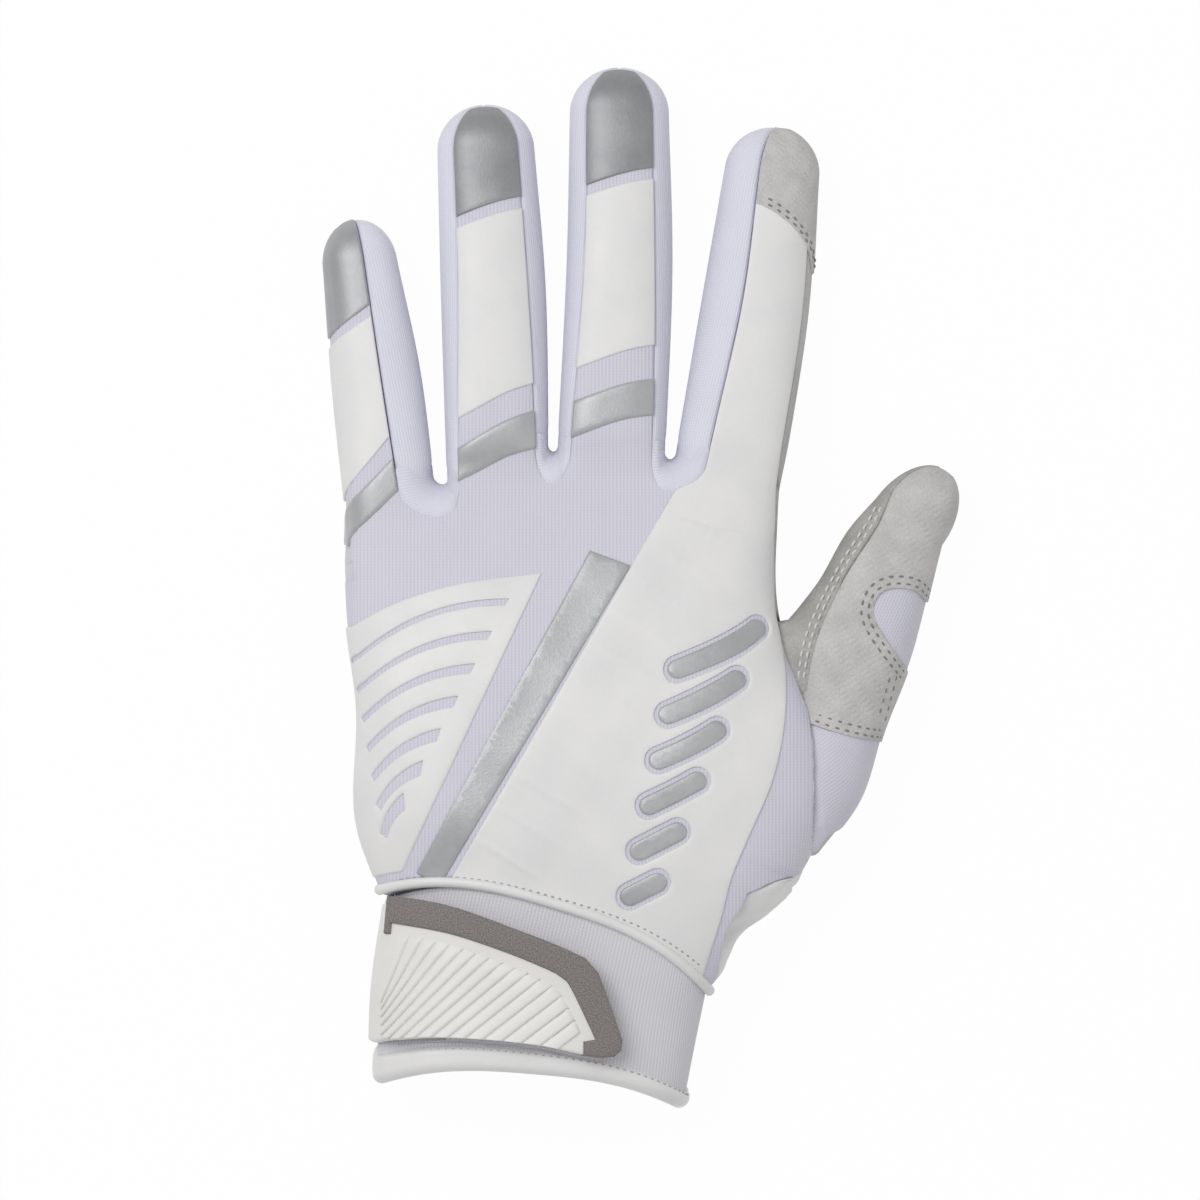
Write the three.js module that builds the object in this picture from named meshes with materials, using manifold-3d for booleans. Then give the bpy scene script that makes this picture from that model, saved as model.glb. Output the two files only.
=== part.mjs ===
// Batting glove for a left hand, lying palm down: an assembly of sewn panels, films, bindings and a
// hook-and-loop wrist strap. Millimetres, +Z up, +Y towards the fingertips, +X towards the thumb.
// The origin is on the resting plane, under the middle of the palm.
import * as THREE from "three";
import { mergeVertices } from "three/addons/utils/BufferGeometryUtils.js";
import Module from "manifold-3d";

const wasm = await Module();
wasm.setup();

// Driving dimensions: sheet thicknesses and clearances
const WALL = 1.2; // knit, leather and cuff panels
const FILM = 0.6; // bonded films on the back
const FILM_GAP = 0.2; // glue line under a film
const SEAM_GAP_DEG = 2.2; // opening between two panels that meet at a sewn seam, around a tube
const SEAM_GAP = 0.4; // opening between two panels that meet at a sewn seam, along a tube
const REST_SINK = 1.2; // how far the soft underside flattens where it rests
const SEAM_INSET = 3.3; // side gusset seen from above, between a finger's edge and its seam
const BACK_SEAM_INSET = { little: 7, ring: 3.3, middle: 3.3, index: 7 }; // seams beside the back

// Driving dimensions: the whole glove
const HAND_LENGTH = 95; // from the middle of the wrist seam to the middle finger's fold line
const WRIST_DROP = 52.6; // from the origin back to the middle of the wrist seam
const CUFF_LENGTH = 29.5;
const CUFF_LEAN = 7.6; // degrees from straight back, to the ulnar side
const THUMB_REACH = 48.9; // from the middle of its seam to its last station
const THUMB_LEAN = 26.4; // degrees from straight forward, away from the hand

// Driving dimensions: fingers, laid side by side from the ulnar edge. A finger's length runs from its fold
// line to its tip. It leans towards the thumb by degrees and bends further at its middle station.
const FINGER_TIP = 9; // round end past the last station
const THUMB_TIP = 12;
const FINGER_MIDDLE = 0.55; // where the middle station lies, as a share of what comes before the tip
const FINGER_FLEX_GAP = 0.6; // opening between the hand and a digit at its fold line
const FINGER_SIDE_GAP = 1.5; // between the roots of two neighbours
const ULNAR_EDGE = -45.1;
const FINGERS = {
  little: {
    length: 62.2, lean: -6.4, bend: -1.6, foldDrop: 12.4,
    halves: [9.3, 9.1, 7.6], tops: [19.5, 16.5, 12.5],
  },
  ring: {
    length: 73.8, lean: -1.1, bend: -1.6, foldDrop: 1.4,
    halves: [10.1, 10.5, 9.6], tops: [20, 17.5, 14],
  },
  middle: {
    length: 79.8, lean: 2.6, bend: -2.6, foldDrop: 0,
    halves: [11.0, 10.6, 10.0], tops: [20.5, 18, 14.5],
  },
  index: {
    length: 70.4, lean: 8.8, bend: -2.5, foldDrop: 2,
    halves: [11.0, 10.9, 9.9], tops: [20, 17.5, 14],
  },
};
const ROOT_CORNER = 4; // a squarer section where the finger leaves the hand
const FINGER_CORNER = 2.5;

// Films on a finger's back, in millimetres along the finger, and the slant of their ends
const FILMS = {
  little: { tip: 21.8, white: 24.5, bar: 6.2 },
  ring: { tip: 21.8, white: 35.4, bar: 6.2 },
  middle: { tip: 22.8, white: 33.8, bar: 6.4 },
};
const WHITE_FILM_GAP = 2.4; // bare knit between the tip film and the white film
const BAR_FILM_GAP = 5.6; // bare knit between the white film and the bar film
const FILM_SLANT = 3.4; // how far a film's end runs forward across half the digit
const INDEX_WRAP_LENGTH = 14.5; // palm leather turned over the tip of the index finger
const INDEX_WRAP_SLANT = -5;

// Driving dimensions: sections of the hand, thumb and cuff. A section lies a share of the way along, is moved
// to the side and turned by degrees, and has a half width, a height and a forward bow of its back.
const HAND_SECTIONS = [
  { along: 0, side: -5.1, turn: -17.3, half: 33.6, top: 29, bow: 8 },
  { along: 0.206, side: 2.1, turn: -7.8, half: 44.3, top: 31, bow: 4 },
  { along: 0.438, side: 4, turn: -6, half: 47.7, top: 30.5, bow: 0 },
  { along: 0.706, side: -0.6, turn: 0.7, half: 44, top: 26.5, bow: 0 },
];
const HAND_CORNERS = [2.8, 3.0, 3.2, 3.2, 4.0];
const KNUCKLE_TOP = 16.5;
const KNUCKLE_OVERRUN = 12; // how far the hand's form runs on past the fold lines that trim it
const KNUCKLE_CLEARANCE = 0.5; // beside a finger's root
const RADIAL_SEAM_DEG = -6; // where the back meets the palm, around the hand
const ULNAR_SEAM_DEG = 202;
const HEEL_LENGTH = 24; // white heel panel of the palm, up from the wrist seam
const THUMB_ROOT = 0.529; // where the thumb leaves the hand's radial edge, along the hand's form
const THUMB_SINK = 4.4; // how far its seam lies inside that edge
const THUMB_SECTIONS = [
  { along: 0, side: 0, turn: -83, half: 23.9, top: 24 },
  { along: 0.187, side: 1.8, turn: -73.4, half: 20.4, top: 22 },
  { along: 0.411, side: 1.2, turn: -67.6, half: 16.1, top: 20.5 },
  { along: 0.683, side: 0.7, turn: -61.3, half: 13.4, top: 18.5 },
  { along: 1, side: 0, turn: -36.6, half: 8.3, top: 15.5 },
];
const THUMB_CORNERS = [4.0, 3.0, 2.6, 2.5, 2.5];
const THUMB_SEAM_CLEARANCE = 0.6;
const THUMB_BACK_DEG = [-10, 190]; // knit back of the thumb, around it
const THUMB_BAND_EDGE = [[0.25, 0.03], [0.21, 0.4], [0.17, 0.75], [0.06, 1]]; // band on the inner side
const WRAP_EDGE = [[0.48, 0.11], [1, 0.46]]; // lower edge of the leather wrap: across, along
const WRAP_NOTCH = [0.84, 0.86]; // notch in the outer edge of the wrap: its centre, across and along
const WRAP_NOTCH_RADIUS = 6;
const WRAP_NOTCH_FOOT = [1.02, 0.71]; // where the notch runs out at the outer edge
const CUFF_SECTIONS = [
  { along: 0.51, side: 0, turn: -11.5, half: 32.7, top: 28, bow: 6 },
  { along: 1, side: 0, turn: -5.8, half: 32, top: 27.6, bow: 4.5 },
];
const CUFF_CORNER = 2.8;
const CUFF_BACK_DEG = [-6, 175]; // knit back of the cuff, up to the slit at the ulnar edge
const CUFF_PALM_DEG = [181, 352];

// Films on the back of the hand. Their outlines are shares of the hand: across from the ulnar edge, and
// along from the wrist.
const RADIAL_OVERLAY_EDGE = [[0.755, 0.915], [0.2, 0.095]]; // straight edge beside the rib channel
const RADIAL_OVERLAY_SIDE = [[0.93, 0.02], [0.86, 0.255], [0.9, 0.52], [0.965, 0.67], [0.98, 0.86]];
const ULNAR_OVERLAY_TOP = [[0, 0.605], [0.28, 0.765], [0.45, 0.795]];
const ULNAR_OVERLAY_FOOT = [0.06, 0.06];
const SLOT_COUNT = 7;
const SLOT_START = { u: 0.015, v: [0.55, 0.16] }; // first and last slot
const SLOT_END = { u: [0.335, 0.1], v: [0.725, 0.26] };
const SLOT_WIDTH = [1.5, 3];
const SLOT_BOW = 0.11; // rise of a slot's arc over its chord
const STRIPE_LINE = [[0.655, 0.885], [0.14, 0.06]];
const STRIPE_WIDTH = 4.6;
const VENT_COUNT = 6;
const VENT_MIDDLE = [0.685, 0.45]; // middle of the row of vents
const VENT_ROW_ANGLE = 73; // degrees, the way the row runs
const VENT_ANGLE = 27; // degrees, the way each bar runs
const VENT_LENGTH = [21.5, 10]; // first and last bar
const VENT_WIDTH = 3.8;
const VENT_MARGIN = 0.9; // knit seen around a bar in its window
const VENT_BRIDGE = 1.6; // film between two windows

// Sewn bindings and the wrist closure
const SEAM_BINDING_WIDTH = 2.8;
const SEAM_BINDING_HEIGHT = 1.3;
const HEM_WIDTH = 5;
const HEM_RISE = 0.5;
const LAYER_GAP = 0.3; // between the strap's layers and the cuff
const LOOP_THICKNESS = 0.8;
const HOOK_THICKNESS = 1.0;
const STRAP_THICKNESS = 1.6;
const STRAP_RIB_HEIGHT = 0.7;
const STRAP_RIB_WIDTH = 1.7;
const STRAP_RIB_COUNT = 12;
const STRAP_RIB_FEET = [5, 44]; // where the first and last rib meet the lower edge, from the ulnar edge
const STRAP_RIB_ANGLES = [66, 38]; // degrees, fanning out from the first rib to the last
const STRAP_LENGTH = 47.8; // from the ulnar edge to its far end, seen from above
const STRAP_WIDTH = 28.6; // at the ulnar edge
const STRAP_SHOULDER = 40.4; // where the upper edge turns down to the far end
const STRAP_DROP = 12.6; // how far the upper edge falls to its shoulder
const STRAP_FOOT_DROP = 3; // how far the lower edge falls to the far end
const STRAP_CHAMFER = 3;
const STRAP_CORNER = 4;
const STRAP_FRAME_WIDTH = 5.2;
const STRAP_FRAME_RISE = 0.5;
const STRAP_ROOT_DEG = 186; // angle around the cuff at which the strap leaves its anchor
const STRAP_FAR_DEG = 20;
const STRAP_RISE_DEG = [165, 130]; // where the strap climbs over the hook and loop patches
const ANCHOR_GAP_DEG = 2.5;
const ANCHOR_SPAN_DEG = 30;
const HOOK_DEG = 122; // the hook patch lies from here to the strap's far end
const HOOK_MARGIN = 3; // from the strap's edge to the hook patch
const LOOP_MARGIN = 1.2; // from the strap's edge to the loop patch

// Materials
const material = (color, roughness, metalness = 0) =>
  new THREE.MeshStandardMaterial({ color, roughness, metalness });
const KNIT = material(0xd9d8e8, 0.85);
const WHITE_FILM = material(0xe9e8e8, 0.55);
const SILVER_FILM = material(0xa9abae, 0.38, 0.35);
const LEATHER = material(0xd0cecc, 0.75);
const WHITE_BINDING = material(0xf0f0f0, 0.45);
const GREY_FRAME = material(0x756f6d, 0.7);
const PILE = material(0xe2e2ea, 0.95);

const DEG = Math.PI / 180;

// A tapering tube between two edge curves in plan, with a rounded section and an optional round end.
// Its angles run from 0 on the right edge over the back, at 90, to the left edge and round by the palm.
class Tube {
  constructor({ edges, tops, corners, bows = tops.map(() => 0), tipLength = 0 }) {
    const spline = (points) =>
      new THREE.CatmullRomCurve3(points.map((p) => new THREE.Vector3(...p)), false, "catmullrom");
    this.left = spline(edges.map(([left]) => left));
    this.right = spline(edges.map(([, right]) => right));
    this.sizes = spline(tops.map((top, i) => [top, corners[i], bows[i]]));
    this.tipLength = tipLength;
    this.bodyLength = this.measure();
    this.length = this.bodyLength + tipLength;
  }

  measure(steps = 60) {
    let sum = 0;
    let last = this.plan(0.5, 0);
    for (let i = 1; i <= steps; i++) {
      const next = this.plan(0.5, i / steps);
      sum += next.distanceTo(last);
      last = next;
    }
    return sum;
  }

  // A point in plan, by its shares across the tube and along it
  plan(across, along) {
    return this.left.getPoint(along).lerp(this.right.getPoint(along), across);
  }

  // Unit vectors in plan across the tube and forward along it
  directions(along) {
    const across = this.plan(1, along).sub(this.plan(0, along)).normalize();
    return { across, forward: new THREE.Vector3(-across.y, across.x, 0) };
  }

  // The point at a distance along the tube, at an angle around it, offset outwards from its outer face.
  point(distance, angle, offset) {
    const body = THREE.MathUtils.clamp(distance / this.bodyLength, 0, 1);
    const past = THREE.MathUtils.clamp((distance - this.bodyLength) / (this.tipLength || 1), 0, 1);
    const { across, forward } = this.directions(body);
    const { x: top, y: corner, z: bow } = this.sizes.getPoint(body);
    const half = this.plan(0, body).distanceTo(this.plan(1, body)) / 2;
    const shrink = Math.sqrt(Math.max(1 - past * past, 0.0004));
    const round = (value) => Math.sign(value) * Math.pow(Math.abs(value), 2 / corner);
    const crown = Math.max(Math.sin(angle), 0) ** 2;
    const middle = (top - REST_SINK) / 2;
    const height = (top + REST_SINK) / 2;
    const point = this.plan(0.5, body);
    point.addScaledVector(across, (half + offset) * shrink * round(Math.cos(angle)));
    point.addScaledVector(forward, (this.tipLength + offset) * past + bow * crown);
    point.z = Math.max(middle + (height + offset) * shrink * round(Math.sin(angle)), -offset);
    return point;
  }
}

// Signed volume of a triangle mesh, used to make every face point outwards.
function signedVolume(positions, triangles) {
  const [a, b, c] = [new THREE.Vector3(), new THREE.Vector3(), new THREE.Vector3()];
  let sum = 0;
  for (let i = 0; i < triangles.length; i += 3) {
    a.fromArray(positions, 3 * triangles[i]);
    b.fromArray(positions, 3 * triangles[i + 1]);
    c.fromArray(positions, 3 * triangles[i + 2]);
    sum += a.dot(b.cross(c));
  }
  return sum / 6;
}

// A closed sheet between an outer and an inner grid of points, grid[row][column].
function sheetSolid(outer, inner) {
  const rows = outer.length;
  const columns = outer[0].length;
  const positions = [];
  for (const grid of [outer, inner]) grid.flat().forEach((p) => positions.push(p.x, p.y, p.z));
  const at = (face, i, j) => face * rows * columns + i * columns + j;
  const triangles = [];
  const quad = (a, b, c, d) => triangles.push(a, b, c, a, c, d);
  for (let i = 0; i + 1 < rows; i++) {
    for (let j = 0; j + 1 < columns; j++) {
      quad(at(0, i, j), at(0, i, j + 1), at(0, i + 1, j + 1), at(0, i + 1, j));
      quad(at(1, i, j), at(1, i + 1, j), at(1, i + 1, j + 1), at(1, i, j + 1));
    }
  }
  for (let i = 0; i + 1 < rows; i++) {
    quad(at(0, i, 0), at(0, i + 1, 0), at(1, i + 1, 0), at(1, i, 0));
    quad(at(0, i, columns - 1), at(1, i, columns - 1), at(1, i + 1, columns - 1), at(0, i + 1, columns - 1));
  }
  for (let j = 0; j + 1 < columns; j++) {
    quad(at(0, 0, j), at(1, 0, j), at(1, 0, j + 1), at(0, 0, j + 1));
    quad(at(0, rows - 1, j), at(0, rows - 1, j + 1), at(1, rows - 1, j + 1), at(1, rows - 1, j));
  }
  if (signedVolume(positions, triangles) < 0) {
    for (let i = 0; i < triangles.length; i += 3) {
      [triangles[i + 1], triangles[i + 2]] = [triangles[i + 2], triangles[i + 1]];
    }
  }
  const geometry = new THREE.BufferGeometry();
  geometry.setAttribute("position", new THREE.Float32BufferAttribute(positions, 3));
  geometry.setIndex(triangles);
  return geometry;
}

// A sheet that follows a tube from one distance to another and from one angle to another. A sheet that
// reaches a round tip has TIP_ROWS rows there, at the same places on every layer.
const TIP_ROWS = 4;
function strip(tube, { from, to, angles, inner, outer, rows, columns, ...slope }) {
  const { slantFrom = 0, slantTo = 0, least = 0, lift = () => 0 } = slope;
  const reachesTip = tube.tipLength > 0 && to > tube.bodyLength;
  const tipRows = reachesTip ? TIP_ROWS : 0;
  const grid = (offset) =>
    Array.from({ length: rows + tipRows + 1 }, (_, i) =>
      Array.from({ length: columns + 1 }, (_, j) => {
        const angle = DEG * THREE.MathUtils.lerp(angles[0], angles[1], j / columns);
        const lean = Math.cos(angle);
        const start = Math.max(from + slantFrom * lean, least);
        const end = reachesTip ? tube.bodyLength : to + slantTo * lean;
        const tipShare = Math.sin((Math.max(i - rows, 0) / TIP_ROWS) * (Math.PI / 2));
        const distance = THREE.MathUtils.lerp(start, end, Math.min(i / rows, 1)) + tube.tipLength * tipShare;
        return tube.point(distance, angle, offset + lift(angle));
      }),
    );
  return sheetSolid(grid(outer), grid(inner));
}

// Conversions between three.js geometry and manifold-3d solids
function solidOf(geometry) {
  const bare = geometry.index ? geometry.toNonIndexed() : geometry.clone();
  bare.deleteAttribute("normal");
  bare.deleteAttribute("uv");
  const merged = mergeVertices(bare, 1e-4);
  return new wasm.Manifold(
    new wasm.Mesh({
      numProp: 3,
      vertProperties: merged.attributes.position.array,
      triVerts: new Uint32Array(merged.index.array),
    }),
  );
}

function geometryOf(solid) {
  const { vertProperties, triVerts } = solid.getMesh();
  const geometry = new THREE.BufferGeometry();
  geometry.setAttribute("position", new THREE.BufferAttribute(vertProperties, 3));
  geometry.setIndex(new THREE.BufferAttribute(triVerts, 1));
  return geometry;
}

// A die: an upright prism of a plan outline, which cuts panels out of a layer.
const FAR = 4 * HAND_LENGTH; // well past every edge of the glove
const DIE_SEGMENTS = 4;
function die(outline) {
  const shape = outline instanceof THREE.Shape ? outline : new THREE.Shape(outline);
  const options = { depth: FAR, bevelEnabled: false, curveSegments: DIE_SEGMENTS };
  const geometry = new THREE.ExtrudeGeometry(shape, options);
  geometry.translate(0, 0, -FAR / 2);
  return solidOf(geometry);
}

// A bar in plan with round ends
function barShape(centre, length, width, angle) {
  const reach = new THREE.Vector2(Math.cos(angle), Math.sin(angle)).multiplyScalar((length - width) / 2);
  const shape = new THREE.Shape();
  shape.absarc(centre.x + reach.x, centre.y + reach.y, width / 2, angle - Math.PI / 2, angle + Math.PI / 2);
  shape.absarc(centre.x - reach.x, centre.y - reach.y, width / 2, angle + Math.PI / 2, angle + 1.5 * Math.PI);
  return shape;
}

// Tubes of the glove, from sections along a straight line that leans from straight forward
function edgePoints(centre, turn, half) {
  const across = new THREE.Vector2(Math.cos(turn * DEG), Math.sin(turn * DEG)).multiplyScalar(half);
  return [centre.clone().sub(across).toArray(), centre.clone().add(across).toArray()];
}

function sectionEdges(start, length, lean, sections) {
  const forward = new THREE.Vector2(Math.sin(lean * DEG), Math.cos(lean * DEG));
  const aside = new THREE.Vector2(forward.y, -forward.x);
  return sections.map(({ along, side, turn, half }) => {
    const centre = start.clone().addScaledVector(forward, along * length).addScaledVector(aside, side);
    return edgePoints(centre, turn, half);
  });
}

function fingerTube({ length, lean, bend, halves, tops }, root) {
  const heading = (degrees) => new THREE.Vector2(Math.sin(degrees * DEG), Math.cos(degrees * DEG));
  const body = length - FINGER_TIP;
  const middle = root.clone().addScaledVector(heading(lean), FINGER_MIDDLE * body);
  const end = middle.clone().addScaledVector(heading(lean + bend), (1 - FINGER_MIDDLE) * body);
  const turns = [-lean, -lean - bend / 2, -lean - bend];
  const edges = [root, middle, end].map((centre, i) => edgePoints(centre, turns[i], halves[i]));
  const corners = [ROOT_CORNER, FINGER_CORNER, FINGER_CORNER];
  return new Tube({ edges, tops, corners, tipLength: FINGER_TIP });
}

const fingers = {};
let ulnarSide = ULNAR_EDGE;
for (const [name, finger] of Object.entries(FINGERS)) {
  const rootHalf = finger.halves[0];
  const root = new THREE.Vector2(ulnarSide + rootHalf, HAND_LENGTH - WRIST_DROP - finger.foldDrop);
  fingers[name] = fingerTube(finger, root);
  ulnarSide += 2 * rootHalf + FINGER_SIDE_GAP;
}

function knucklePoint(tube, side) {
  return tube.plan(side, 0).addScaledVector(tube.directions(0).forward, KNUCKLE_OVERRUN).toArray();
}

const palmStart = new THREE.Vector2(0, -WRIST_DROP);
const hand = new Tube({
  edges: [
    ...sectionEdges(palmStart, HAND_LENGTH, 0, HAND_SECTIONS),
    [knucklePoint(fingers.little, 0), knucklePoint(fingers.index, 1)],
  ],
  tops: [...HAND_SECTIONS.map((s) => s.top), KNUCKLE_TOP],
  corners: HAND_CORNERS,
  bows: [...HAND_SECTIONS.map((s) => s.bow), 0],
});

const thumbEdge = hand.plan(1, THUMB_ROOT).addScaledVector(hand.directions(THUMB_ROOT).across, -THUMB_SINK);
const thumbStart = new THREE.Vector2(thumbEdge.x, thumbEdge.y);
const thumb = new Tube({
  edges: sectionEdges(thumbStart, THUMB_REACH, THUMB_LEAN, THUMB_SECTIONS),
  tops: THUMB_SECTIONS.map((s) => s.top),
  corners: THUMB_CORNERS,
  tipLength: THUMB_TIP,
});

const wrist = HAND_SECTIONS[0];
const cuffSections = [{ ...wrist, along: 0, side: 0 }, ...CUFF_SECTIONS];
const cuffStart = new THREE.Vector2(wrist.side, -WRIST_DROP);
const cuff = new Tube({
  edges: sectionEdges(cuffStart, -CUFF_LENGTH, CUFF_LEAN, cuffSections),
  tops: cuffSections.map((s) => s.top),
  corners: cuffSections.map(() => CUFF_CORNER),
  bows: cuffSections.map((s) => s.bow),
});

const glove = new THREE.Group();
glove.name = "batting_glove";

function add(name, shape, finish) {
  const mesh = new THREE.Mesh(shape instanceof THREE.BufferGeometry ? shape : geometryOf(shape), finish);
  mesh.name = name;
  glove.add(mesh);
}

// Fingers: palm leather, knit gussets, a knit back and the films bonded to it
const FINGER_ROWS = 6;
const BACK_COLUMNS = 4;
const SIDE_COLUMNS = 3;

// The angle around a digit at which a seam lies this far inside its edge.
function seamAngle(tube, inset) {
  const half = tube.plan(0, 0.5).distanceTo(tube.plan(1, 0.5)) / 2;
  const corner = tube.sizes.getPoint(0.5).y;
  return Math.acos(Math.pow(1 - inset / half, corner / 2)) / DEG;
}

function fingerPanels(name, { ulnarGusset, radialGusset }) {
  const tube = fingers[name];
  const palmSeam = seamAngle(tube, SEAM_INSET);
  const backSeam = seamAngle(tube, BACK_SEAM_INSET[name]);
  const gap = SEAM_GAP_DEG / 2;
  const whole = { from: FINGER_FLEX_GAP / 2, to: tube.length, inner: -WALL, outer: 0, rows: FINGER_ROWS };
  const back = {
    angles: [
      radialGusset ? backSeam + gap : gap - palmSeam,
      ulnarGusset ? 180 - backSeam - gap : 180 + palmSeam - gap,
    ],
    columns: ulnarGusset && radialGusset ? BACK_COLUMNS : BACK_COLUMNS + SIDE_COLUMNS,
  };
  const palm = { angles: [180 + palmSeam + gap, 360 - palmSeam - gap], columns: BACK_COLUMNS };
  add(`${name}_palm`, strip(tube, { ...whole, ...palm }), LEATHER);
  add(`${name}_back`, strip(tube, { ...whole, ...back }), KNIT);
  if (radialGusset) {
    const side = { angles: [gap - palmSeam, backSeam - gap], columns: SIDE_COLUMNS };
    add(`${name}_gusset_radial`, strip(tube, { ...whole, ...side }), KNIT);
  }
  if (ulnarGusset) {
    const side = { angles: [180 - backSeam + gap, 180 + palmSeam - gap], columns: SIDE_COLUMNS };
    add(`${name}_gusset_ulnar`, strip(tube, { ...whole, ...side }), KNIT);
  }
  return { tube, ...back, inner: FILM_GAP, outer: FILM_GAP + FILM, least: FINGER_FLEX_GAP / 2 };
}

function fingerFilms(name, { tube, ...layer }) {
  const lengths = FILMS[name];
  const tipFrom = tube.length - lengths.tip;
  const whiteTo = tipFrom - WHITE_FILM_GAP;
  const whiteFrom = whiteTo - lengths.white;
  const barTo = whiteFrom - BAR_FILM_GAP;
  const slanted = { ...layer, slantFrom: FILM_SLANT, slantTo: FILM_SLANT };
  const tip = { from: tipFrom, to: tube.length, rows: 3 };
  const white = { from: whiteFrom, to: whiteTo, rows: 4 };
  const bar = { from: barTo - lengths.bar, to: barTo, rows: 1 };
  add(`${name}_tip_film`, strip(tube, { ...slanted, ...tip }), SILVER_FILM);
  add(`${name}_white_film`, strip(tube, { ...slanted, ...white }), WHITE_FILM);
  add(`${name}_bar_film`, strip(tube, { ...slanted, ...bar }), SILVER_FILM);
}

function indexFilms({ tube, ...layer }) {
  const wrapFrom = tube.length - INDEX_WRAP_LENGTH;
  const wrap = { from: wrapFrom, to: tube.length, slantFrom: INDEX_WRAP_SLANT, rows: 3 };
  const film = { from: layer.least, to: wrapFrom - SEAM_GAP, slantTo: INDEX_WRAP_SLANT, rows: FINGER_ROWS };
  add("index_tip_wrap", strip(tube, { ...layer, ...wrap }), LEATHER);
  add("index_white_film", strip(tube, { ...layer, ...film }), WHITE_FILM);
}

fingerFilms("little", fingerPanels("little", { ulnarGusset: false, radialGusset: true }));
fingerFilms("ring", fingerPanels("ring", { ulnarGusset: true, radialGusset: true }));
fingerFilms("middle", fingerPanels("middle", { ulnarGusset: true, radialGusset: true }));
indexFilms(fingerPanels("index", { ulnarGusset: true, radialGusset: false }));

// Hand: its layers are trimmed along the fingers' fold lines and along the thumb's seam
const HAND_ROWS = 10;
const HAND_COLUMNS = 14;
const PALM_COLUMNS = 8;

function foldLine() {
  const points = Object.values(fingers).flatMap((tube) => {
    const { across, forward } = tube.directions(0);
    const edge = (side, reach) =>
      tube.plan(side, 0).addScaledVector(across, reach).addScaledVector(forward, -FINGER_FLEX_GAP / 2);
    return [edge(0, -KNUCKLE_CLEARANCE), edge(1, KNUCKLE_CLEARANCE)];
  });
  const beyond = (end, next) => end.clone().add(end.clone().sub(next));
  return [beyond(points[0], points[1]), ...points, beyond(points.at(-1), points.at(-2))];
}

function handDie() {
  const { across, forward } = thumb.directions(0);
  const seam = (side, reach) =>
    thumb.plan(side, 0).addScaledVector(across, reach).addScaledVector(forward, -THUMB_SEAM_CLEARANCE);
  const outer = seam(1, THUMB_SEAM_CLEARANCE);
  const inner = seam(0, -THUMB_SEAM_CLEARANCE);
  const fold = foldLine();
  return die([
    new THREE.Vector2(-FAR, -FAR),
    new THREE.Vector2(FAR, -FAR),
    new THREE.Vector2(FAR, outer.y),
    outer,
    inner,
    new THREE.Vector2(FAR, inner.y),
    ...fold.reverse(),
    new THREE.Vector2(-FAR, fold.at(-1).y),
  ]);
}

const trim = handDie();
function handLayer({ from = SEAM_GAP / 2, to = hand.length, angles, inner, outer, columns }) {
  return solidOf(strip(hand, { from, to, angles, inner, outer, rows: HAND_ROWS, columns })).intersect(trim);
}

const backDegrees = [RADIAL_SEAM_DEG, ULNAR_SEAM_DEG];
const palmDegrees = [ULNAR_SEAM_DEG + SEAM_GAP_DEG, 360 + RADIAL_SEAM_DEG - SEAM_GAP_DEG];
const backLayer = (inner, outer, from) =>
  handLayer({ angles: backDegrees, columns: HAND_COLUMNS, inner, outer, from });
const palmLayer = (from, to) =>
  handLayer({ angles: palmDegrees, columns: PALM_COLUMNS, inner: -WALL, outer: 0, from, to });

add("palm_leather", palmLayer(HEEL_LENGTH + SEAM_GAP / 2), LEATHER);
add("palm_heel", palmLayer(SEAM_GAP / 2, HEEL_LENGTH - SEAM_GAP / 2), WHITE_FILM);
add("back_knit", backLayer(-WALL, 0), KNIT);

// Films on the back of the hand
const films = backLayer(FILM_GAP, FILM_GAP + FILM, SEAM_BINDING_WIDTH + SEAM_GAP);
const onHand = ([across, along]) => hand.plan(across, along);
const curveOnHand = (shares) =>
  new THREE.SplineCurve(shares.map(onHand).map(({ x, y }) => new THREE.Vector2(x, y)));
const between = ([first, last], index, count) => THREE.MathUtils.lerp(first, last, index / (count - 1));

function bandShape([from, to], width) {
  const [start, end] = [onHand(from), onHand(to)];
  const along = end.clone().sub(start);
  return barShape(start.clone().lerp(end, 0.5), along.length() + width, width, Math.atan2(along.y, along.x));
}

function slotShape(index) {
  const start = onHand([SLOT_START.u, between(SLOT_START.v, index, SLOT_COUNT)]);
  const end = onHand([between(SLOT_END.u, index, SLOT_COUNT), between(SLOT_END.v, index, SLOT_COUNT)]);
  const width = between(SLOT_WIDTH, index, SLOT_COUNT);
  const chord = end.clone().sub(start);
  const up = new THREE.Vector3(-chord.y, chord.x, 0).normalize();
  const middle = start.clone().lerp(end, 0.5);
  const upper = middle.clone().addScaledVector(up, 2 * SLOT_BOW * chord.length() + width);
  const lower = middle.clone().addScaledVector(up, 2 * SLOT_BOW * chord.length() - width);
  const shape = new THREE.Shape([start]);
  shape.quadraticCurveTo(lower.x, lower.y, end.x, end.y);
  shape.quadraticCurveTo(upper.x, upper.y, start.x, start.y);
  return shape;
}

function ventShape(index, margin) {
  const row = VENT_ROW_ANGLE * DEG;
  const pitch = (VENT_WIDTH + 2 * VENT_MARGIN + VENT_BRIDGE) / Math.sin(row - VENT_ANGLE * DEG);
  const step = new THREE.Vector3(Math.cos(row), Math.sin(row), 0).multiplyScalar(pitch);
  const centre = onHand(VENT_MIDDLE).addScaledVector(step, (VENT_COUNT - 1) / 2 - index);
  const length = between(VENT_LENGTH, index, VENT_COUNT);
  return barShape(centre, length + 2 * margin, VENT_WIDTH + 2 * margin, VENT_ANGLE * DEG);
}

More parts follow.
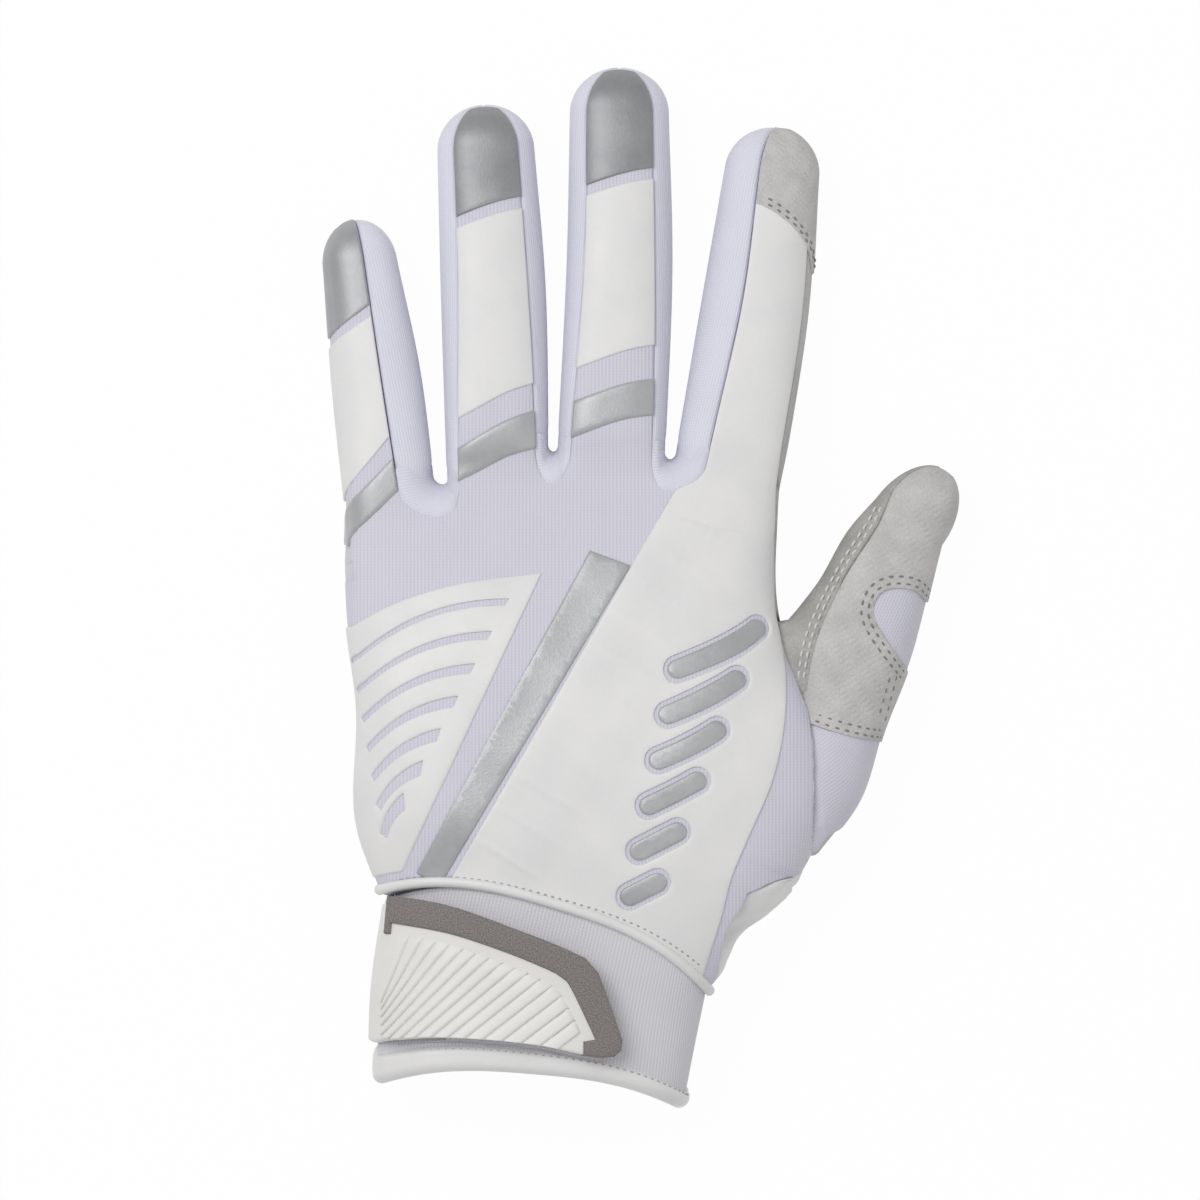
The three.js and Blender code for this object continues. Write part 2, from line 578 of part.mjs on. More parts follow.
function radialOverlay() {
  const [top, foot] = RADIAL_OVERLAY_EDGE.map(onHand);
  const run = top.clone().sub(foot).normalize();
  const side = curveOnHand(RADIAL_OVERLAY_SIDE);
  const outline = [
    top.clone().addScaledVector(run, KNUCKLE_OVERRUN),
    foot.clone().addScaledVector(run, -KNUCKLE_OVERRUN),
    onHand([0.5, 0]).addScaledVector(run, -KNUCKLE_OVERRUN),
    ...side.getPoints(2 * DIE_SEGMENTS),
    onHand([RADIAL_OVERLAY_SIDE.at(-1)[0], 1]),
  ];
  let overlay = films.intersect(die(outline));
  for (let i = 0; i < VENT_COUNT; i++) overlay = overlay.subtract(die(ventShape(i, VENT_MARGIN)));
  return overlay;
}

function ulnarOverlay() {
  const top = curveOnHand(ULNAR_OVERLAY_TOP);
  const foot = onHand(ULNAR_OVERLAY_FOOT);
  const corner = onHand(ULNAR_OVERLAY_TOP[0]);
  const outline = [
    foot,
    ...top.getPoints(DIE_SEGMENTS).reverse(),
    new THREE.Vector2(-FAR, corner.y),
    new THREE.Vector2(-FAR, foot.y),
  ];
  let overlay = films.intersect(die(outline));
  for (let i = 0; i < SLOT_COUNT; i++) overlay = overlay.subtract(die(slotShape(i)));
  return overlay;
}

add("radial_overlay", radialOverlay(), WHITE_FILM);
add("ulnar_overlay", ulnarOverlay(), WHITE_FILM);
add("diagonal_stripe", films.intersect(die(bandShape(STRIPE_LINE, STRIPE_WIDTH))), SILVER_FILM);
for (let i = 0; i < VENT_COUNT; i++) {
  add(`vent_bar_${i + 1}`, films.intersect(die(ventShape(i, 0))), SILVER_FILM);
}
const wristBinding = {
  from: SEAM_GAP / 2,
  to: SEAM_BINDING_WIDTH,
  angles: backDegrees,
  inner: FILM_GAP,
  outer: FILM_GAP + SEAM_BINDING_HEIGHT,
  rows: 1,
  columns: HAND_COLUMNS,
};
add("wrist_seam_binding", strip(hand, wristBinding), WHITE_BINDING);

// Thumb: a knit back and a leather palm, under a leather wrap and a band along the inner side
const THUMB_ROWS = 7;
const THUMB_COLUMNS = 8;
const thumbWhole = { from: FINGER_FLEX_GAP / 2, to: thumb.length, rows: THUMB_ROWS };
const thumbBack = { ...thumbWhole, angles: THUMB_BACK_DEG, columns: THUMB_COLUMNS };
const thumbPalm = {
  ...thumbWhole,
  angles: [THUMB_BACK_DEG[1] + SEAM_GAP_DEG, 360 + THUMB_BACK_DEG[0] - SEAM_GAP_DEG],
  columns: PALM_COLUMNS,
};
add("thumb_knit_back", strip(thumb, { ...thumbBack, inner: -WALL, outer: 0 }), KNIT);
add("thumb_palm", strip(thumb, { ...thumbPalm, inner: -WALL, outer: 0 }), LEATHER);

const thumbFilms = solidOf(strip(thumb, { ...thumbBack, inner: FILM_GAP, outer: FILM_GAP + FILM }));
const onThumb = ([across, along]) => thumb.plan(across, along);
const pastThumb = (across) =>
  onThumb([across, 1]).addScaledVector(thumb.directions(1).forward, 2 * THUMB_TIP);

// The edge of the inner band, from the root to its end and off the inner side, moved out by a margin
function bandEdge(margin) {
  const { forward } = thumb.directions(1);
  const edge = THUMB_BAND_EDGE.map(([across, along]) =>
    onThumb([across, along]).addScaledVector(thumb.directions(along).across, margin),
  );
  edge.at(-1).addScaledVector(forward, margin);
  return [...edge, onThumb([-1, 1]).addScaledVector(forward, margin)];
}

function notchShape() {
  const [centre, foot, beyond] = [WRAP_NOTCH, WRAP_NOTCH_FOOT, [2, WRAP_NOTCH[1]]].map(onThumb);
  const out = Math.atan2(beyond.y - centre.y, beyond.x - centre.x);
  const shape = new THREE.Shape();
  shape.moveTo(beyond.x, beyond.y);
  shape.absarc(centre.x, centre.y, WRAP_NOTCH_RADIUS, out + Math.PI / 2, out + 1.25 * Math.PI);
  shape.lineTo(foot.x, foot.y);
  return shape;
}

function thumbWrap() {
  const outline = [
    ...WRAP_EDGE.map(onThumb),
    onThumb([2, WRAP_EDGE.at(-1)[1]]),
    pastThumb(2),
    pastThumb(-1),
    ...bandEdge(SEAM_GAP).reverse(),
  ];
  return thumbFilms.intersect(die(outline)).subtract(die(notchShape()));
}

add("thumb_leather_wrap", thumbWrap(), LEATHER);
add("thumb_inner_band", thumbFilms.intersect(die([...bandEdge(0), onThumb([-1, 0])])), LEATHER);

// Cuff: a knit back, a palm side and a hem, open in a slit at the ulnar edge
const CUFF_ROWS = 5;
const CUFF_COLUMNS = 14;
const hemFrom = cuff.length - HEM_WIDTH;
const cuffBand = { from: SEAM_GAP / 2, to: hemFrom - SEAM_GAP / 2, inner: -WALL, outer: 0, rows: CUFF_ROWS };
const hemBand = { from: hemFrom + SEAM_GAP / 2, to: cuff.length, inner: -WALL, rows: 1 };
const cuffBack = { angles: CUFF_BACK_DEG, columns: CUFF_COLUMNS };
const cuffPalm = { angles: CUFF_PALM_DEG, columns: PALM_COLUMNS };
add("back_cuff", strip(cuff, { ...cuffBand, ...cuffBack }), KNIT);
add("palm_cuff", strip(cuff, { ...cuffBand, ...cuffPalm }), WHITE_FILM);
add("back_hem", strip(cuff, { ...hemBand, ...cuffBack, outer: HEM_RISE }), WHITE_BINDING);
add("palm_hem", strip(cuff, { ...hemBand, ...cuffPalm, outer: 0 }), WHITE_BINDING);

// Wrist strap: anchored on the palm side, round the ulnar edge and over the hook and loop patches
const loopOuter = LAYER_GAP + LOOP_THICKNESS;
const hookInner = loopOuter + LAYER_GAP;
const strapLift = hookInner + HOOK_THICKNESS;
const strapInner = LAYER_GAP;
const strapOuter = LAYER_GAP + STRAP_THICKNESS;
const rise = (angle) =>
  strapLift * (1 - THREE.MathUtils.smoothstep(angle / DEG, STRAP_RISE_DEG[1], STRAP_RISE_DEG[0]));

const STRAP_STEP_DEG = 12;
function strapLayer(inner, outer, angles, lift) {
  const columns = Math.ceil((angles[1] - angles[0]) / STRAP_STEP_DEG);
  const band = { from: SEAM_GAP, to: hemFrom - SEAM_GAP, rows: CUFF_ROWS, columns };
  return solidOf(strip(cuff, { ...band, angles, inner, outer, lift }));
}

// The strap seen from above, drawn in by an inset from its upper edge and far end, and by a margin all round
function strapShape(inset, margin = 0) {
  const corner = cuff.plan(0, 0);
  const at = (x, down) => [corner.x + x, corner.y - down];
  const top = inset + margin;
  const end = STRAP_LENGTH - top;
  const foot = STRAP_WIDTH + STRAP_FOOT_DROP - margin;
  const shape = new THREE.Shape();
  shape.moveTo(...at(-STRAP_LENGTH, top));
  shape.lineTo(...at(0, top));
  const shoulder = at(STRAP_SHOULDER - top, STRAP_DROP + top / 2);
  shape.quadraticCurveTo(...at(STRAP_LENGTH / 2 - top, top), ...shoulder);
  shape.lineTo(...at(STRAP_SHOULDER + STRAP_CHAMFER - top, STRAP_DROP + STRAP_CHAMFER + top / 2));
  shape.lineTo(...at(end, foot - STRAP_CORNER));
  shape.quadraticCurveTo(...at(end, foot), ...at(end - STRAP_CORNER, foot));
  shape.quadraticCurveTo(...at(STRAP_LENGTH / 2, foot - STRAP_FOOT_DROP), ...at(0, foot - STRAP_FOOT_DROP));
  shape.lineTo(...at(-STRAP_LENGTH, foot - STRAP_FOOT_DROP));
  return shape;
}

function strapRib(index) {
  const corner = cuff.plan(0, 0);
  const angle = between(STRAP_RIB_ANGLES, index, STRAP_RIB_COUNT) * DEG;
  const foot = new THREE.Vector2(between(STRAP_RIB_FEET, index, STRAP_RIB_COUNT), -STRAP_WIDTH).add(corner);
  return die(barShape(foot, 2 * STRAP_LENGTH, STRAP_RIB_WIDTH, angle));
}

function strapBody() {
  const field = die(strapShape(STRAP_FRAME_WIDTH + LAYER_GAP));
  const base = strapLayer(strapInner, strapOuter, [STRAP_FAR_DEG, STRAP_ROOT_DEG], rise).intersect(field);
  const ribDegrees = [STRAP_FAR_DEG, STRAP_RISE_DEG[0]];
  const ribs = strapLayer(strapOuter - LAYER_GAP, strapOuter + STRAP_RIB_HEIGHT, ribDegrees, rise);
  const ribField = ribs.intersect(die(strapShape(STRAP_FRAME_WIDTH, STRAP_RIB_WIDTH)));
  let body = base;
  for (let i = 0; i < STRAP_RIB_COUNT; i++) body = body.add(ribField.intersect(strapRib(i)));
  return body;
}

function strapFrame() {
  const degrees = [STRAP_FAR_DEG, STRAP_RISE_DEG[0]];
  const layer = strapLayer(strapInner, strapOuter + STRAP_FRAME_RISE, degrees, rise);
  return layer.intersect(die(strapShape(0))).subtract(die(strapShape(STRAP_FRAME_WIDTH)));
}

const hookDegrees = [STRAP_FAR_DEG, HOOK_DEG];
const loopDegrees = [STRAP_FAR_DEG, STRAP_RISE_DEG[1]];
const anchorFrom = STRAP_ROOT_DEG + ANCHOR_GAP_DEG;
const anchor = strapLayer(strapInner, strapOuter, [anchorFrom, anchorFrom + ANCHOR_SPAN_DEG]);
const loop = strapLayer(LAYER_GAP, loopOuter, loopDegrees);
const hook = strapLayer(hookInner, strapLift, hookDegrees);
add("loop_patch", loop.intersect(die(strapShape(0, LOOP_MARGIN))), PILE);
add("hook_patch", hook.intersect(die(strapShape(0, HOOK_MARGIN))), PILE);
add("strap_body", strapBody(), WHITE_BINDING);
add("strap_frame", strapFrame(), GREY_FRAME);
add("strap_anchor", anchor.intersect(die(strapShape(0))), WHITE_BINDING);

export default glove;
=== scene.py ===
"""Left-hand batting glove, lying palm down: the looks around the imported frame.

Lengths are millimetres and turn into metres when a mesh is made. Every form repeats the tubes of the CAD
model, so each piece lies where its node lies.
"""
import math

import bpy
import numpy as np
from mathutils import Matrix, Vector
from mathutils.geometry import delaunay_2d_cdt


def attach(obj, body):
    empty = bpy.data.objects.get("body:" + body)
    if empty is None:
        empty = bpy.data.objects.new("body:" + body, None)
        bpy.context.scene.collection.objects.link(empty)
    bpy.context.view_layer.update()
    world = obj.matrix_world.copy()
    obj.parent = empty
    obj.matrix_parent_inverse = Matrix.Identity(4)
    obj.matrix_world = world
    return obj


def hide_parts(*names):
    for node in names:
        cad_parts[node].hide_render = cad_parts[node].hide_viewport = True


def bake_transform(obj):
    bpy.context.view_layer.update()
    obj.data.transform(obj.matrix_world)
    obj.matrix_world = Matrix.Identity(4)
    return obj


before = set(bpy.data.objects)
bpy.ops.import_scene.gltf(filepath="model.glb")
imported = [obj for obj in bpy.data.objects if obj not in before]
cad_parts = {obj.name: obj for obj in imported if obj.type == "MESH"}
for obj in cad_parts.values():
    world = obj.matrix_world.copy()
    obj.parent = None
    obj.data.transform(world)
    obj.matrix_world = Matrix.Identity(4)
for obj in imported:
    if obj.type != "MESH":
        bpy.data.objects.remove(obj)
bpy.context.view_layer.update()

MM = 0.001

# Sheets and seams
WALL = 1.2
SEAM_GAP_DEG = 2.2
REST_SINK = 1.2  # how far below zero, where they rest flat, the sections would reach; the floor lies this low
SEAM_INSET = 3.3  # from a finger's edge in to the seam of its palm
BACK_SEAM_INSET = {"little": 7.8, "ring": 3.3, "middle": 3.3, "index": 7.8}

# The whole glove
HAND_LENGTH = 95.0
WRIST_DROP = 52.6
CUFF_LENGTH = 29.5
CUFF_LEAN = 7.6
THUMB_REACH = 48.9
THUMB_LEAN = 26.4
FINGER_TIP = 9.0
THUMB_TIP = 12.0
FINGER_MIDDLE = 0.55
FINGER_SIDE_GAP = 1.9
ULNAR_EDGE = -44.1
ROOT_CORNER = 4.0
FINGER_CORNER = 2.5
KNUCKLE_OVERRUN = 12.0
KNUCKLE_TOP = 16.5
# Half widths and heights lie at a finger's root, middle and end. Each end of a film is a distance along the
# finger's middle, and how far the end leans
FINGERS = {
    "little": {
        "length": 62.2, "lean": -6.4, "bend": -1.6, "fold_drop": 12.4,
        "halves": (8.9, 8.75, 7.2), "tops": (19.5, 16.5, 12.5),
        "films": {
            "tip": [(43.6, 4.7)],
            "white": [(15.4, 8.0), (41.2, 4.4)],
            "bar": [(5.6, 6.4), (11.6, 6.6)],
        },
        "gussets": ("radial",),
    },
    "ring": {
        "length": 73.8, "lean": -1.4, "bend": -1.6, "fold_drop": 1.4,
        "halves": (10.0, 10.3, 9.5), "tops": (20.0, 17.5, 14.0),
        "films": {
            "tip": [(52.4, 3.3)],
            "white": [(13.6, 4.5), (49.8, 3.1)],
            "bar": [(2.4, 4.5), (8.8, 4.6)],
        },
        "gussets": ("radial", "ulnar"),
    },
    "middle": {
        "length": 79.8, "lean": 2.6, "bend": -2.6, "fold_drop": 0.0,
        "halves": (10.6, 10.4, 9.7), "tops": (20.5, 18.0, 14.5),
        "films": {
            "tip": [(56.8, 3.4)],
            "white": [(20.2, 3.6), (54.4, 3.2)],
            "bar": [(8.0, 3.4), (14.4, 3.4)],
        },
        "gussets": ("radial", "ulnar"),
    },
    "index": {
        "length": 70.4, "lean": 9.3, "bend": -2.5, "fold_drop": 2.0,
        "halves": (10.9, 10.7, 9.2), "tops": (20.0, 17.5, 14.0),
        "films": None, "gussets": ("ulnar",),
    },
}
# Sections: share along, move aside, turn in degrees, half width, height, forward bow of the back
HAND_SECTIONS = [
    (0.0, -5.4, -17.3, 33.9, 29.0, 8.0),
    (0.206, 1.7, -7.8, 44.7, 31.0, 4.0),
    (0.438, 4.6, -6.0, 47.1, 30.5, 0.0),
    (0.706, -1.6, 0.7, 43.0, 26.5, 0.0),
]
HAND_CORNERS = [2.8, 3.0, 3.2, 3.2, 4.0]
RADIAL_SEAM_DEG = -6.0
ULNAR_SEAM_DEG = 202.0
HEEL_LENGTH = 24.0
THUMB_ROOT = 0.529
THUMB_SINK = 4.4
THUMB_SECTIONS = [
    (0.0, 0.0, -83.0, 23.9, 24.0, 0.0),
    (0.187, 1.8, -73.4, 20.4, 22.0, 0.0),
    (0.411, 1.2, -67.6, 16.1, 20.5, 0.0),
    (0.683, 0.7, -61.3, 13.4, 18.5, 0.0),
    (1.0, -0.5, -36.6, 7.5, 15.5, 0.0),
]
THUMB_CORNERS = [4.0, 3.0, 2.6, 2.5, 2.5]
CUFF_SECTIONS = [
    (0.0, 1.3, -17.3, 32.6, 29.0, 8.0),
    (0.51, 0.8, -11.5, 31.9, 28.0, 6.0),
    (1.027, 1.4, -4.7, 30.6, 27.6, 4.5),
]
CUFF_CORNER = 2.8


def smoothstep(low, high, value):
    """A soft ramp from 0 at low to 1 at high."""
    share = np.clip((value - low) / (high - low), 0, 1)
    return share * share * (3 - 2 * share)


def spline(points, along):
    """Catmull-Rom curve through the points, evenly in its parameter, at shares along it."""
    points = np.asarray(points, float)
    place = np.clip(along, 0, 1) * (len(points) - 1)
    first = np.minimum(place.astype(int), len(points) - 2)
    t = (place - first)[..., None]
    ends = np.vstack([2 * points[0] - points[1], points, 2 * points[-1] - points[-2]])
    before, start, end, after = (ends[first + step] for step in range(4))
    start_slope = (end - before) / 2
    end_slope = (after - start) / 2
    cubic = 2 * start - 2 * end + start_slope + end_slope
    square = 3 * end - 3 * start - 2 * start_slope - end_slope
    return ((cubic * t + square) * t + start_slope) * t + start


def lerp_pair(pair, share):
    """What lies a share of the way from the first of a pair to the last."""
    first, last = (np.asarray(end, float) for end in pair)
    return first + (last - first) * share


def grids(*values):
    """The values as arrays of numbers with one shape."""
    return np.broadcast_arrays(*(np.asarray(value, float) for value in values))


def unit(vectors):
    """The vectors made one long."""
    return vectors / np.maximum(np.linalg.norm(vectors, axis=-1), 1e-12)[..., None]


def plane_cross(first, second):
    """Cross product of vectors in the plane."""
    return first[..., 0] * second[..., 1] - first[..., 1] * second[..., 0]


def section_point(polar, corner):
    """Where a polar angle cuts a section of half size 1: to the side and up."""
    side, up = np.cos(polar), np.sin(polar)
    reach = (np.abs(side) ** corner + np.abs(up) ** corner) ** (-1 / corner)
    return reach * side, reach * up


class Tube:
    """A tapering tube between two edge curves in plan, with a rounded section and an optional round end.

    Polar angles run from the right edge, at 0, over the back to the left edge, at pi, and round by the palm.
    """

    def __init__(self, edges, tops, corners, bows=None, tip=0.0):
        self.edges = np.array(edges, float).reshape(len(edges), 4)
        self.sizes = np.column_stack([tops, corners, bows if bows else [0.0] * len(tops)])
        self.tip = tip
        self.waves = None
        centres = self.plan(0.5, np.linspace(0, 1, 61))
        self.body = np.linalg.norm(np.diff(centres, axis=0), axis=1).sum()
        self.length = self.body + tip

    def plan(self, across, along):
        """Places in plan at shares across and along the tube."""
        edge = spline(self.edges, np.asarray(along, float))
        return edge[..., :2] + (edge[..., 2:] - edge[..., :2]) * np.asarray(across, float)[..., None]

    def axes(self, along):
        """Centre, unit vectors across and forward in plan, and half width."""
        edge = spline(self.edges, np.asarray(along, float))
        span = edge[..., 2:] - edge[..., :2]
        width = np.linalg.norm(span, axis=-1)
        across = span / width[..., None]
        forward = np.stack([-across[..., 1], across[..., 0]], -1)
        return (edge[..., :2] + edge[..., 2:]) / 2, across, forward, width / 2

    def share(self, distance):
        """Share of the body that lies before a distance."""
        return np.clip(np.asarray(distance, float) / self.body, 0, 1)

    def half(self, distance):
        """Half the width at a distance."""
        return self.axes(self.share(distance))[3]

    def corner(self, distance):
        """How square the section is at a distance: 2 is round, and more is squarer."""
        return spline(self.sizes, self.share(distance))[..., 1]

    def polar(self, distance, degrees):
        """The polar angle of the section's point at an angle of the CAD model."""
        angle = np.radians(degrees)
        parts = (np.sin(angle), np.cos(angle))
        power = 2 / self.corner(distance)
        turn = np.arctan2(*(np.sign(part) * np.abs(part) ** power for part in parts))
        return turn + 2 * np.pi * np.round((angle - turn) / (2 * np.pi))

    def between(self, distance, degrees, shares):
        """Polar angles at shares of the way between two angles of the CAD model."""
        first, last = (self.polar(distance, limit) for limit in degrees)
        return first + (last - first) * shares

    def polar_across(self, distance, across):
        """The polar angle on the back above a share across the tube."""
        corner = self.corner(distance)
        side = np.clip(2 * np.asarray(across, float) - 1, -1, 1)
        return np.arctan2((1 - np.abs(side) ** corner) ** (1 / corner), side)

    def point(self, distance, polar, offset=0.0):
        """Points of the surface, moved outwards by an offset."""
        distance, polar, offset = grids(distance, polar, offset)
        body = self.share(distance)
        past = np.clip((distance - self.body) / (self.tip or 1.0), 0, 1)
        centre, across, forward, half = self.axes(body)
        top, corner, bow = np.moveaxis(spline(self.sizes, body), -1, 0)
        side, up = section_point(polar, corner)
        if self.waves:
            offset = offset + self.waves(centre + across * (half * side)[..., None]) * np.maximum(up, 0)
        shrink = np.sqrt(np.maximum(1 - past * past, 0.0004))
        run = (self.tip + offset) * past + bow * np.maximum(up, 0) ** corner + np.minimum(distance, 0)
        plan = centre + across * ((half + offset) * shrink * side)[..., None] + forward * run[..., None]
        height = (top - REST_SINK) / 2 + ((top + REST_SINK) / 2 + offset) * shrink * up
        return np.concatenate([plan, np.maximum(height, -offset)[..., None]], -1)

    def locate(self, plan):
        """Distance and polar angle of the points of the back that lie at places in plan."""
        plan = np.asarray(plan, float)
        across = np.full(plan.shape[:-1], 0.5)
        along = np.full(plan.shape[:-1], 0.5)

        def place(u, v):
            """Places in plan of points of the back, at shares across and along."""
            centre, side, forward, half = self.axes(v)
            _, corner, bow = np.moveaxis(spline(self.sizes, v), -1, 0)
            crown = 1 - np.abs(2 * u - 1) ** corner
            return centre + side * (half * (2 * u - 1))[..., None] + forward * (bow * crown)[..., None]

        nudge = 1e-4
        for _ in range(8):
            here = place(across, along)
            du = (place(across + nudge, along) - here) / nudge
            dv = (here - place(across, along - nudge)) / nudge
            miss = plan - here
            det = plane_cross(du, dv)
            across = np.clip(across + plane_cross(miss, dv) / det, 0.001, 0.999)
            along = np.clip(along + plane_cross(du, miss) / det, 0.001, 1)
        distance = along * self.body
        return distance, self.polar_across(distance, across)


def heading(degrees):
    """Unit vector in plan that leans this far to the right of straight ahead."""
    return np.array([math.sin(math.radians(degrees)), math.cos(math.radians(degrees))])


def edge_points(centre, turn, half):
    """Left and right end of a section in plan."""
    across = half * np.array([math.cos(math.radians(turn)), math.sin(math.radians(turn))])
    return [centre - across, centre + across]


def section_edges(start, length, lean, sections):
    """Ends of all the sections of a tube that starts at a place and leans."""
    forward = heading(lean)
    aside = np.array([forward[1], -forward[0]])
    return [
        edge_points(start + forward * along * length + aside * side, turn, half)
        for along, side, turn, half, _, _ in sections
    ]


def finger_tube(finger, root):
    """A finger from its root, bent once at its middle."""
    body = finger["length"] - FINGER_TIP
    lean, bend = finger["lean"], finger["bend"]
    middle = root + heading(lean) * FINGER_MIDDLE * body
    end = middle + heading(lean + bend) * (1 - FINGER_MIDDLE) * body
    turns = (-lean, -lean - bend / 2, -lean - bend)
    edges = [edge_points(*section) for section in zip((root, middle, end), turns, finger["halves"])]
    return Tube(edges, finger["tops"], (ROOT_CORNER, FINGER_CORNER, FINGER_CORNER), tip=FINGER_TIP)


def all_tubes():
    """The fingers side by side from the ulnar edge, the hand behind them, the thumb and the cuff."""
    tubes = {}
    ulnar_side = ULNAR_EDGE
    for name, finger in FINGERS.items():
        half = finger["halves"][0]
        root = np.array([ulnar_side + half, HAND_LENGTH - WRIST_DROP - finger["fold_drop"]])
        tubes[name] = finger_tube(finger, root)
        ulnar_side += 2 * half + FINGER_SIDE_GAP
    knuckles = []
    for name, side in (("little", 0), ("index", 0.96)):
        forward = tubes[name].axes(0.0)[2]
        knuckles.append(tubes[name].plan(side, 0.0) + forward * KNUCKLE_OVERRUN)
    edges = section_edges(np.array([0.0, -WRIST_DROP]), HAND_LENGTH, 0.0, HAND_SECTIONS) + [knuckles]
    tops = [section[4] for section in HAND_SECTIONS] + [KNUCKLE_TOP]
    bows = [section[5] for section in HAND_SECTIONS] + [0.0]
    hand = tubes["hand"] = Tube(edges, tops, HAND_CORNERS, bows)
    root = hand.plan(1.0, THUMB_ROOT) - hand.axes(THUMB_ROOT)[1] * THUMB_SINK
    edges = section_edges(root, THUMB_REACH, THUMB_LEAN, THUMB_SECTIONS)
    tubes["thumb"] = Tube(edges, [s[4] for s in THUMB_SECTIONS], THUMB_CORNERS, tip=THUMB_TIP)
    start = np.array([HAND_SECTIONS[0][1], -WRIST_DROP])
    edges = section_edges(start, -CUFF_LENGTH, CUFF_LEAN, CUFF_SECTIONS)
    corners = [CUFF_CORNER] * len(edges)
    tubes["cuff"] = Tube(edges, [s[4] for s in CUFF_SECTIONS], corners, [s[5] for s in CUFF_SECTIONS])
    return tubes


def hand_waves(plan):
    """Soft waves of the cloth over the back of the hand, by place in plan."""
    x, y = plan[..., 0], plan[..., 1]
    fade = smoothstep(-52, -40, y) * (1 - smoothstep(24, 40, y))
    broad = 0.2 * np.sin(0.21 * x + 0.09 * y + 0.6) * np.cos(0.05 * x - 0.17 * y)
    return fade * (broad + 0.08 * np.sin(0.4 * x - 0.27 * y + 1.1))


TUBES = all_tubes()
HAND = TUBES["hand"]
THUMB = TUBES["thumb"]
CUFF = TUBES["cuff"]
HAND.waves = hand_waves


# Meshes
SHARP_DEG = 55.0
ALL_SIDES = ("start", "end", "left", "right")
LONG_SIDES = ("left", "right")
POINTS_AT_ONCE = 2000  # keeps the arrays of gaps small
RIM_STEP = 0.7  # longest step along the edge of a film
FINGER_RIM = 0.5  # radius of the rolled edges of the fingers' and the thumb's panels
HAND_RIM = 0.6  # the same for the hand's panels and the gussets
OVERLAY_RIM = 0.3
SILVER_RIM = 0.35
PILE_RIM = 0.4
DRAW_SHARE = 0.62  # share of a panel's columns that move along with a drawn edge

# Stitches: length, pitch and radius of the thread
SMALL_STITCH = (0.8, 1.5, 0.17)
HOLE_STITCH = (1.1, 2.1, 0.2)
THREAD_STITCH = (1.5, 2.1, 0.26)


def add_mesh(name, points, faces, finish, uv):
    """A mesh object from points and texture places in millimetres, with its faces turned outwards."""
    points = np.asarray(points, float)
    fans = [(face[0], face[i], face[i + 1]) for face in faces for i in range(1, len(face) - 1)]
    a, b, c = (points[corner] for corner in np.array(fans).T)
    if np.einsum("ij,ij->", a, np.cross(b, c)) < 0:
        faces = [face[::-1] for face in faces]
    mesh = bpy.data.meshes.new(name)
    mesh.from_pydata((points * MM).tolist(), [], faces)
    mesh.materials.append(finish)
    mesh.shade_smooth()
    mesh.set_sharp_from_angle(angle=math.radians(SHARP_DEG))
    layer = mesh.uv_layers.new(name="cloth")
    loops = np.empty(len(mesh.loops), int)
    mesh.loops.foreach_get("vertex_index", loops)
    layer.data.foreach_set("uv", np.asarray(uv, np.float32)[loops].ravel())
    obj = bpy.data.objects.new(name, mesh)
    bpy.context.collection.objects.link(obj)
    return obj


def shell(outer, inner):
    """A closed sheet between two grids of points."""
    rows, columns = outer.shape[:2]
    points = np.concatenate([outer.reshape(-1, 3), inner.reshape(-1, 3)])
    index = np.arange(2 * rows * columns).reshape(2, rows, columns)
    faces = []

    def quads(a, b, c, d):
        """Adds the faces between four grids of corners."""
        faces.extend(np.stack([a.ravel(), b.ravel(), c.ravel(), d.ravel()], -1).tolist())

    top, base = index
    quads(top[:-1, :-1], top[:-1, 1:], top[1:, 1:], top[1:, :-1])
    quads(base[:-1, :-1], base[1:, :-1], base[1:, 1:], base[:-1, 1:])
    quads(top[:-1, 0], top[1:, 0], base[1:, 0], base[:-1, 0])
    quads(top[:-1, -1], base[:-1, -1], base[1:, -1], top[1:, -1])
    quads(top[0, :-1], base[0, :-1], base[0, 1:], top[0, 1:])
    quads(top[-1, :-1], top[-1, 1:], base[-1, 1:], base[-1, :-1])
    return points, faces


def steps_along(grid, axis):
    """Running length along an axis of a grid of points."""
    lengths = np.linalg.norm(np.diff(grid, axis=axis), axis=-1)
    start = np.zeros_like(np.take(lengths, [0], axis=axis))
    return np.cumsum(np.concatenate([start, lengths], axis=axis), axis=axis)


def margins(grid, sides):
    """How far each point of a grid lies from the nearest of the named sides."""
    along, across = steps_along(grid, 0), steps_along(grid, 1)
    reach = {"start": along, "end": along[-1:] - along, "right": across, "left": across[:, -1:] - across}
    return np.min([reach[side] for side in sides], axis=0)


def rounding(margin, radius):
    """How far a rounded rim lies below the face, by its distance from the edge."""
    share = np.clip(1 - margin / radius, 0, 1)
    return radius * (1 - np.sqrt(1 - share * share))


def spread(count, rim):
    """Shares from 0 to 1, with close ones near both ends for a rim that takes this share."""
    ends = rim * np.array([0.0, 0.07, 0.25, 0.55])
    return np.concatenate([ends, np.linspace(rim, 1 - rim, count), 1 - ends[::-1]])


